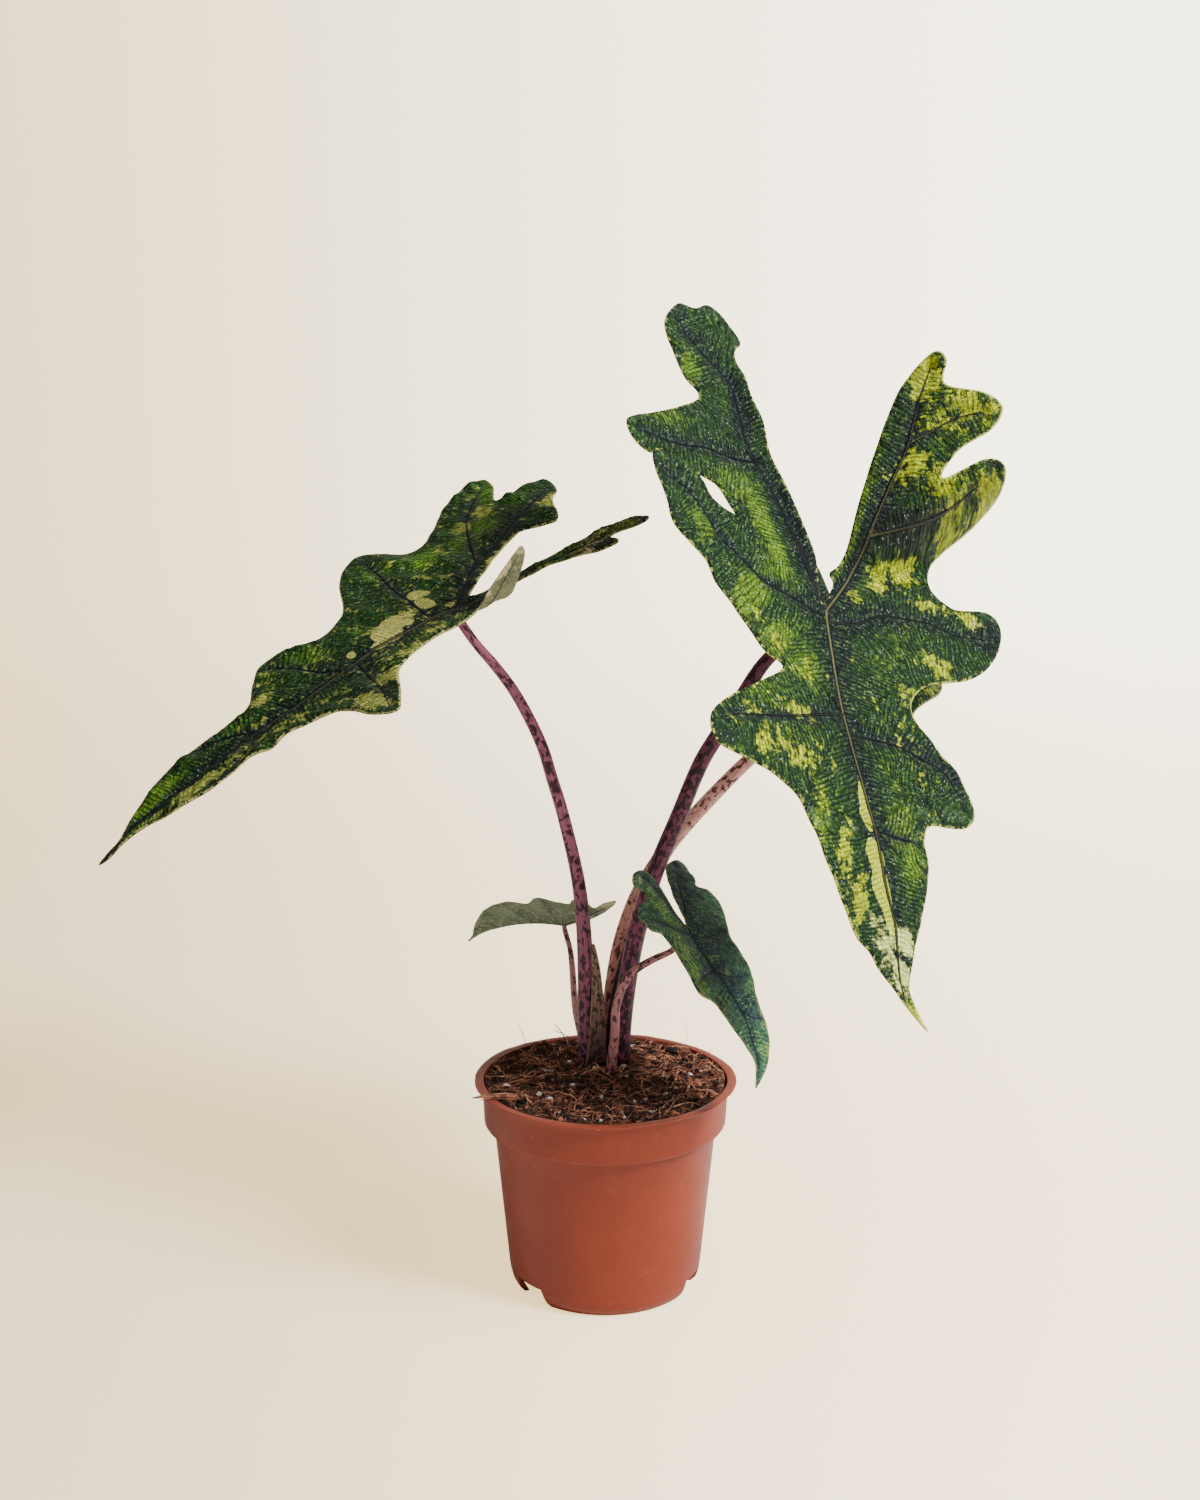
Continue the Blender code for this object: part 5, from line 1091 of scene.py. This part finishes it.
# The pot's section from the pad's middle, out round the foot, up the outside, over the lip and down inside
def potProfile(p):
    pad, floor, foot, wall = p["pad"], p["floor"], p["foot"], p["wall"]
    low, high, top, step = p["bodyLow"], p["bodyTop"], p["high"], p["collarZ"]
    skirt, collar, rim, under = p["collarLow"], p["collar"], p["rim"], p["high"] - p["lip"]
    below = [(0.0, 0.0), (pad - 0.6, 0.0), (pad, 0.6), (pad, floor), (low - wall - 1.4, floor), (41.5, 6.0),
             (foot - 2.0, 0.5), (foot - 1.7, 0.0), (foot - 0.5, 0.0), (foot + 0.2, 0.2), (foot + 0.8, 0.9)]
    outside = [(low, 10.0), *p["sideCurve"], (high, step - 2.4), (high + 0.35, step - 1.7),
               (high + 1.1, step - 1.1), (skirt - 1.6, step - 0.7), (skirt - 0.6, step - 0.3),
               (skirt - 0.1, step + 0.5), (skirt, step + 1.6), (collar - 0.3, top - 6.0),
               (collar, under - 0.7), (collar + 0.5, under - 0.1)]
    lip = [(rim - 0.7, under), (rim - 0.15, under + 0.2), (rim, top - p["lip"] / 2), (rim - 0.15, top - 0.2),
           (rim - 0.7, top), (collar + 0.3, top), (collar - 0.5, top - 0.25), (collar - 0.8, top - 0.9)]
    inside = [(skirt - wall, step + 1.2), (high - wall, step - 1.2), (low - wall, floor + 2.7),
              (low - wall - 1.5, floor + wall), (0.0, floor + wall)]
    return below + p["footCurve"] + outside + lip + inside


# The lip is thin and a little uneven: a few slow waves and small nicks, fading below the collar's top
def lipWarp(r, z, angle):
    near = np.clip((z - 88) / 9, 0, 1) * (r > 50)
    slow = 0.28 * np.sin(3 * angle + 0.7) + 0.16 * np.sin(8 * angle + 2.0)
    nicks = 0.22 * np.clip(wavy(angle * 60, 0 * angle, 9, 5) - 0.35, 0, 1)
    rise = 0.22 * np.sin(5 * angle + 1.0) + 0.12 * wavy(angle * 60, 0 * angle, 14, 8)
    return r + near * (slow - nicks * (r > 58)), z + near * np.where(r > 57.5, rise, 0)


def makePot():
    p = pot
    obj = turnProfile("pot_body", potProfile(p), p["seg"], warp=lipWarp)
    inner, outer = p["notchReach"]
    for deg in p["notchAt"]:
        corners = []
        for z, grow in ((-1.0, 0.045), (p["notchHigh"], -0.02)):
            half = math.radians(p["notchDeg"] / 2) + grow
            for r, side in ((inner, -half), (outer, -half), (outer, half), (inner, half)):
                a = math.radians(deg) + side
                corners.append((r * math.cos(a), r * math.sin(a), z))
        sides = [(3, 2, 1, 0), (4, 5, 6, 7), (0, 1, 5, 4), (1, 2, 6, 5), (2, 3, 7, 6), (3, 0, 4, 7)]
        cutAway(obj, meshObject("notchCutter", corners, sides, False))
    for deg in p["drainAt"]:
        a = math.radians(deg)
        low, high, r = p["floor"] - 2, p["floor"] + 3, p["drain"]
        centre = (p["drainRing"] * math.cos(a), p["drainRing"] * math.sin(a))
        cutAway(obj, turnProfile("drainCutter", [(0, low), (r, low), (r, high), (0, high)], 48, centre))
    obj.data.set_sharp_from_angle(angle=math.radians(p["sharp"]))
    dress(obj, "pot", potMaterial(p))


# Plain plastic with faint clouds, moulding lines, pale dust, a few grits, a painted shadow line under the
# collar and a painted highlight along the lip
def potMaterial(p):
    mat, w = newMaterial("potPlastic")
    coord = w.place()
    z = w.split(coord)[2]
    cloud = w.noise(coord, 28, 4.0, 0.55)
    moulding = w.noise(w.scaled(coord, (60, 60, 900)), 1.0, 3.0, 0.6)
    colour = w.mix(w.ramp(cloud, 0.3, 0.7), p["clay"], w.mix(0.35, p["clay"], p["clayDark"]))
    colour = w.mix(w.times(w.ramp(moulding, 0.45, 0.75), 0.22), colour, p["clayDark"])
    dust = w.ramp(w.noise(coord, 160, 5.0, 0.7), 0.58, 0.74, 0.0, 0.28)
    colour = w.mix(w.times(dust, w.ramp(z, 0.005, 0.1, 0.5, 1.0)), colour, p["clayPale"])
    grain = w.ramp(w.cells(coord, 150), 0.0, 0.06, 1.0, 0.0)
    grit = w.times(grain, w.ramp(w.noise(coord, 40, 1.0), 0.58, 0.62))
    colour = w.mix(grit, colour, p["grit"])
    # Painted shadow: a dark line just under the collar's step
    collarShadowGap = w.math("ABSOLUTE", w.less(z, p["collarZ"] * mm - 0.0012))
    colour = w.mix(w.ramp(collarShadowGap, 0.0, 0.0016, 0.45, 0.0), colour, p["clayDark"])
    # Painted highlight: the top edge of the lip is paler, where light catches it
    lipHighlight = w.ramp(z, (p["high"] - 1.4) * mm, (p["high"] - 0.2) * mm, 0.0, 0.5)
    colour = w.mix(lipHighlight, colour, w.mix(0.5, p["clayPale"], p["clay"]))
    scuff = w.scaleAdd(moulding, 0.5, w.noise(coord, 900, 2.0, 0.6))
    w.shade({"Base Color": colour, "Roughness": w.ramp(cloud, 0.3, 0.7, 0.33, 0.46),
             "Normal": w.bump(scuff, 0.10, 0.0004), "Specular IOR Level": 0.24, "Coat Weight": 0.08,
             "Coat Roughness": 0.30})
    return mat


# Soil
soil = {
    "edge": 55.0, "seg": 320, "rings": 110,
    "below": [(41.6, 12.0), (43.0, 14.0), (49.2, 76.0), (54.0, 80.0), (55.0, 94.6)],
    "edgeZ": 96.8, "mound": 4.6, "crown": (0.0, 8.0), "crownTop": 100.75,
    "heaps": [(2, -9, 9, 1.6), (-9, -1, 8, 1.2), (24, -18, 12, 0.8), (-30, -12, 14, 0.6)],
    "crumbs": 2600, "perlite": 66, "chips": 110,
    "peat": (0.110, 0.038, 0.024), "peatDark": (0.010, 0.0040, 0.0030), "fibre": (0.370, 0.125, 0.068),
    "fibrePale": (0.90, 0.47, 0.27), "stone": (1.0, 0.97, 0.95), "stain": (0.36, 0.24, 0.20),
    "pore": (0.20, 0.14, 0.12),
}
fibres = {      # span is shortest, spread and longest; thin is the range of radii, in mm
    "coir_fibres": {"n": 1200, "seed": 21, "span": (3, 2.4, 16), "thin": (0.10, 0.22),
                    "rise": 0.5, "pale": 1.5},
    "long_fibres": {"n": 520, "seed": 22, "span": (9, 4.0, 30), "thin": (0.15, 0.40),
                    "rise": 0.8, "pale": 0.9},
}


# Height of the soil: a low mound round the crown and a few crossed waves, with lumps
def soilHeight(x, y):
    r = np.hypot(x - soil["crown"][0], y - soil["crown"][1])
    wave = np.sin(0.19 * x + 1.3) * np.cos(0.16 * y - 0.4) + 0.6 * np.sin(0.31 * y + 0.11 * x)
    base = soil["edgeZ"] + soil["mound"] * np.exp(-(r / 27.0) ** 2) + 0.55 * wave
    for hx, hy, size, rise in soil["heaps"]:
        base = base + rise * np.exp(-(((x - hx) ** 2 + (y - hy) ** 2) / size ** 2))
    lumps = 0.50 * wavy(x, y, 9, 11) + 0.38 * wavy(x, y, 4, 12) + 0.26 * wavy(x, y, 2.2, 13)
    cover = soil["crownTop"] - 0.42 * np.clip(r - 11.5, 0, None) + 0.2 * wavy(x, y, 5, 4)
    return np.where(r < 18, np.maximum(base + lumps, cover), base + lumps)


def makeSoil():
    below = np.array(soil["below"])
    angle = np.linspace(0, fullTurn, soil["seg"], endpoint=False)
    inward = soil["edge"] * np.sqrt(np.linspace(1, 0.0004, soil["rings"]))
    radius = np.concatenate([below[:, 0], inward])[:, None]
    x, y = radius * np.cos(angle), radius * np.sin(angle)
    z = soilHeight(x, y)
    z[:len(below)] = below[:, 1:]
    middle = (0, 0, soilHeight(np.zeros(1), np.zeros(1))[0])
    obj = ringBody("soil_bed", np.stack([x, y, z], -1), (0, 0, below[0, 1]), middle)
    mat, w = newMaterial("peat")
    coord = w.place()
    lump = w.noise(coord, 420, 5.0, 0.7)
    strand = w.noise(w.scaled(coord, (240, 900, 500)), 1.0, 4.0, 0.7, 1.5)
    colour = w.mix(w.ramp(lump, 0.35, 0.65), soil["peatDark"], soil["peat"])
    colour = w.mix(w.times(w.ramp(strand, 0.55, 0.7), 0.6), colour, soil["fibre"])
    w.shade({"Base Color": colour, "Roughness": 0.95, "Normal": w.bump(w.plus(lump, strand), 0.9, 0.0012)})
    dress(obj, "soil", mat)


# Random places on the soil, evenly spread over the disc
def soilPlaces(count, reach, draw):
    r = reach * np.sqrt(draw.uniform(0, 1, count))
    a = draw.uniform(0, fullTurn, count)
    return r * np.cos(a), r * np.sin(a)


# Coir fibres: each is a bent line that lifts off the soil in the middle
def makeFibres(name, n, seed, span, thin, rise, pale, knots=9, edge=54.7):
    draw = np.random.default_rng(seed)
    x, y, heading = (value[:, None] for value in (*soilPlaces(n, 53.6, draw), draw.uniform(0, fullTurn, n)))
    length = (span[0] + draw.gamma(2.2, span[1], n)).clip(span[0], span[2])[:, None]
    curl = draw.normal(0, 0.20, n)[:, None]
    t = np.linspace(-0.5, 0.5, knots)
    turn = heading + curl * t * 2 + 0.16 * np.sin(9 * t + heading)
    px = x + np.cumsum(np.cos(turn) * length / knots, 1) - np.cos(heading) * length / 2
    py = y + np.cumsum(np.sin(turn) * length / knots, 1) - np.sin(heading) * length / 2
    shrink = np.minimum(edge / np.hypot(px, py), 1)
    px, py = px * shrink, py * shrink
    lift = draw.gamma(1.5, rise, n)[:, None] * (1 - (2 * t) ** 2) + draw.normal(0, rise, n)[:, None] * t * 2
    pz = soilHeight(px, py) + 0.12 + lift.clip(-0.6, 6 * rise)
    thick = draw.uniform(*thin, n)[:, None] * (1 - 0.55 * np.abs(2 * t) ** 2)
    tubeSet(name, np.stack([px, py, pz], -1), thick, 4, draw.uniform(0, 1, n) ** pale)


# Many thin tubes in one mesh: rings of sides points round each path, closed flat at both ends
def tubeSet(name, paths, thick, sides, tone):
    n, knots = paths.shape[:2]
    tangent = np.gradient(paths, axis=1)
    tangent /= np.linalg.norm(tangent, axis=2, keepdims=True) + 1e-9
    first = np.cross(tangent, np.array([0.0, 0.0, 1.0]))
    first /= np.linalg.norm(first, axis=2, keepdims=True) + 1e-9
    second = np.cross(first, tangent)
    a = np.linspace(0, fullTurn, sides, endpoint=False)
    ring = first[:, :, None, :] * np.cos(a)[:, None] + second[:, :, None, :] * np.sin(a)[:, None]
    verts = paths[:, :, None, :] + ring * thick[:, :, None, None]
    each = knots * sides
    k = np.arange(sides)
    faces = repeatFaces(gridFaces(knots, sides, True)[:, ::-1], n, each)
    faces += repeatFaces(np.stack([k, each - 1 - k]), n, each)
    obj = meshObject(name, verts.reshape(-1, 3), faces)
    addNumbers(obj, "tone", np.repeat(tone, each))
    dress(obj, "soil", coir)


# Small lumps: a unit ball is scaled, turned and knocked out of round for each place
def lumpSet(name, places, sizes, tone, sides, mat, flat=0.7, seed=3):
    draw = np.random.default_rng(seed)
    n = len(places)
    lat = np.linspace(0, math.pi, sides)[1:-1, None]
    lon = np.linspace(0, fullTurn, sides + 1, endpoint=False)
    ball = np.broadcast_arrays(np.sin(lat) * np.cos(lon), np.sin(lat) * np.sin(lon), np.cos(lat))
    ball = np.concatenate([np.stack(ball, -1).reshape(-1, 3), [[0, 0, 1.0]], [[0, 0, -1.0]]])
    knock = 1 + draw.uniform(-0.28, 0.28, (n, len(ball), 1))
    axes = [sizes * share * draw.uniform(0.7, most, n) for share, most in ((1, 1.3), (1, 1.2), (flat, 1.2))]
    x, y, z = np.moveaxis(ball * knock * np.stack(axes, -1)[:, None, :], 2, 0)
    a, b = draw.uniform(0, fullTurn, (n, 1)), draw.uniform(-0.7, 0.7, (n, 1))
    y, z = y * np.cos(b) - z * np.sin(b), y * np.sin(b) + z * np.cos(b)
    x, y = x * np.cos(a) - y * np.sin(a), x * np.sin(a) + y * np.cos(a)
    verts = np.stack([x, y, z], -1) + places[:, None, :]
    faces = [face for part in ringFaces(len(lat), len(lon))
             for face in repeatFaces(part[:, ::-1], n, len(ball))]
    obj = meshObject(name, verts.reshape(-1, 3), faces)
    addNumbers(obj, "tone", np.repeat(tone, len(ball)))
    dress(obj, "soil", mat)


# Coir: brown to pale by each fibre's tone, darker in random patches
def coirMaterial():
    mat, w = newMaterial("coir")
    coord = w.place()
    tone = w.scaleAdd(w.noise(coord, 500), 0.5, w.less(w.attribute("tone"), 0.25))
    colour = w.mix(w.ramp(tone, 0.1, 0.45), soil["peat"], soil["fibre"])
    colour = w.mix(w.ramp(tone, 0.5, 0.95), colour, soil["fibrePale"])
    darkPatch = w.ramp(w.noise(coord, 150, 3.0, 0.6), 0.40, 0.54, 0.72, 0.0)
    w.shade({"Base Color": w.mix(darkPatch, colour, soil["peatDark"]), "Roughness": 0.75})
    return mat


def crumbMaterial():
    mat, w = newMaterial("crumb")
    grain = w.noise(w.place(), 900, 3.0, 0.7)
    tone = w.ramp(w.scaleAdd(grain, 0.4, w.less(w.attribute("tone"), 0.2)), 0.2, 1.0)
    w.shade({"Base Color": w.mix(tone, soil["peatDark"], soil["fibre"]), "Roughness": 0.95,
             "Normal": w.bump(grain, 0.8, 0.0008)})
    return mat


def perliteMaterial():
    mat, w = newMaterial("perlite")
    coord = w.place()
    pores = w.noise(coord, 1500, 3.0, 0.7)
    colour = w.mix(w.ramp(w.noise(coord, 260), 0.45, 0.7, 0.0, 0.6), soil["stone"], soil["stain"])
    w.shade({"Base Color": w.mix(w.ramp(pores, 0.3, 0.5, 0.4, 0.0), colour, soil["pore"]), "Roughness": 0.85,
             "Normal": w.bump(pores, 0.7, 0.0005)})
    return mat


coir = coirMaterial()


# Crumbs, perlite and short flat chips of coir
def makeSoilPieces():
    draw = np.random.default_rng(33)
    x, y = soilPlaces(soil["crumbs"], 53.4, draw)
    size = draw.gamma(2.0, 0.34, len(x)).clip(0.25, 2.6)
    places = np.stack([x, y, soilHeight(x, y) + size * 0.15], -1)
    lumpSet("soil_crumbs", places, size, draw.uniform(0, 1, len(x)) ** 2, 5, crumbMaterial())
    x, y = soilPlaces(soil["perlite"], 51.0, draw)
    size = draw.gamma(3.0, 0.27, len(x)).clip(0.35, 1.5)
    places = np.stack([x, y, soilHeight(x, y) + size * 0.45], -1)
    lumpSet("perlite", places, size, draw.uniform(0, 1, len(x)), 9, perliteMaterial(), 0.8, 8)
    n = soil["chips"]
    x, y, heading = (value[:, None] for value in (*soilPlaces(n, 51.0, draw), draw.uniform(0, fullTurn, n)))
    length = draw.gamma(3.0, 1.6, n).clip(2, 12)[:, None]
    t = np.linspace(-0.5, 0.5, 5)
    px, py = x + np.cos(heading) * length * t, y + np.sin(heading) * length * t
    pz = soilHeight(px, py) + 0.5 + draw.normal(0, 0.7, n)[:, None] * t
    thick = draw.uniform(0.35, 0.8, n)[:, None] * (1 - 0.6 * np.abs(2 * t) ** 3)
    tubeSet("coir_chips", np.stack([px, py, pz], -1), thick, 5, draw.uniform(0, 0.8, n))


# Long strands: a flat bundle hangs over the rim at the left, fine hairs stand up at the back.
# Each is its radius in mm, its tone and its points
strands = [
    (0.62, 0.55, [(-32, -25, 97.8), (-40, -25.6, 98.7), (-47, -26.4, 99.3), (-53, -27.2, 99.3),
        (-59.2, -27.6, 98.9)]),
    (0.5, 0.35, [(-34, -24.2, 97.7), (-42, -25.2, 99.2), (-49, -26.8, 99.9), (-54, -27.6, 99.5),
        (-58, -28.6, 98.9)]),
    (0.55, 0.6, [(-36, -26.6, 97.8), (-43, -26.9, 99), (-50, -27.9, 99.5), (-55, -28.4, 99.4),
        (-59.6, -28.6, 99.1)]),
    (0.4, 0.75, [(-38, -24.6, 98.4), (-44, -24.7, 99.6), (-49, -25.6, 99.7), (-54, -26.4, 99.4),
        (-57, -26.2, 99.2)]),
    (0.42, 0.45, [(-33, -27.8, 97.6), (-42, -28, 98.3), (-48, -28.4, 98.7), (-52, -28.8, 98.8),
        (-56, -29.9, 98.7)]),
    (0.36, 0.65, [(-36, -23.4, 97.9), (-42, -23.9, 98.6), (-47, -25, 99.1), (-52, -26.4, 99.8),
        (-56, -27.6, 99.7)]),
    (0.14, 0.3, [(-37, 41, 95), (-38, 44, 99), (-40, 46, 104), (-42, 47, 108)]),
    (0.22, 0.1, [(-18, 50, 95), (-20, 51, 100), (-23, 52, 104), (-25, 52.5, 106)]),
    (0.2, 0.1, [(-14, 50, 95), (-17, 50, 99), (-21, 50, 101.5), (-25, 50, 103)]),
    (0.1, 0.6, [(38, 38, 95), (39, 40, 101), (39, 41, 106), (38.5, 42, 111)]),
    (0.14, 0.4, [(47, 24, 95), (48.5, 25, 99), (50.5, 26, 102), (52, 26, 103.5)]),
    (0.24, 0.8, [(-32, -20, 97), (-31, -23, 101), (-29, -26, 105), (-28, -30, 104)]),
    (0.28, 0.85, [(20, -38, 97), (14, -40, 99.6), (6, -42, 100.6), (0, -44, 98.8)]),
    (0.26, 0.8, [(36, -22, 97), (32, -30, 100), (27, -36, 99.6), (24, -40, 97.2)]),
]


# Every strand tapers to both ends: its radius falls with the cube of the distance from the middle
def makeStrands(knots=14):
    paths = []
    for radius, tone, points in strands:
        fine = evenLine(points, 0.1)
        paths.append(fine[np.linspace(0, len(fine) - 1, knots).astype(int)])
    radii, tones = (np.array([strand[k] for strand in strands]) for k in (0, 1))
    thick = radii[:, None] * (1 - 0.7 * np.abs(np.linspace(-1, 1, knots)) ** 3)
    tubeSet("long_strands", np.stack(paths), thick, 6, tones)


# Crown: the short corky stem under the soil keeps its solid and gets a bark finish
crown = {"bark": (0.16, 0.085, 0.055), "barkDark": (0.035, 0.018, 0.012)}


def dressCrown():
    mat, w = newMaterial("crownBark")
    bark = w.noise(w.scaled(w.place(), (300, 300, 700)), 1.0, 4.0, 0.65)
    w.shade({"Base Color": w.mix(w.ramp(bark, 0.3, 0.7), crown["barkDark"], crown["bark"]), "Roughness": 0.85,
             "Normal": w.bump(bark, 0.6, 0.001)})
    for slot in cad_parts["crown"].material_slots:
        slot.material = mat


addCamera()
addBackdrop()
addLights()
print("room made")
makePot()
makeSoil()
makeSoilPieces()
for fibreName, fibreShape in fibres.items():
    makeFibres(fibreName, **fibreShape)
makeStrands()
dressCrown()
for stemName, stemShape in stems.items():
    makeStem(stemName, stemShape)
for sheathName, sheathShape in sheaths.items():
    makeSheath(sheathName, sheathShape)
for leafName, leafShape in leaves.items():
    makeLeaf(leafName, leafShape)
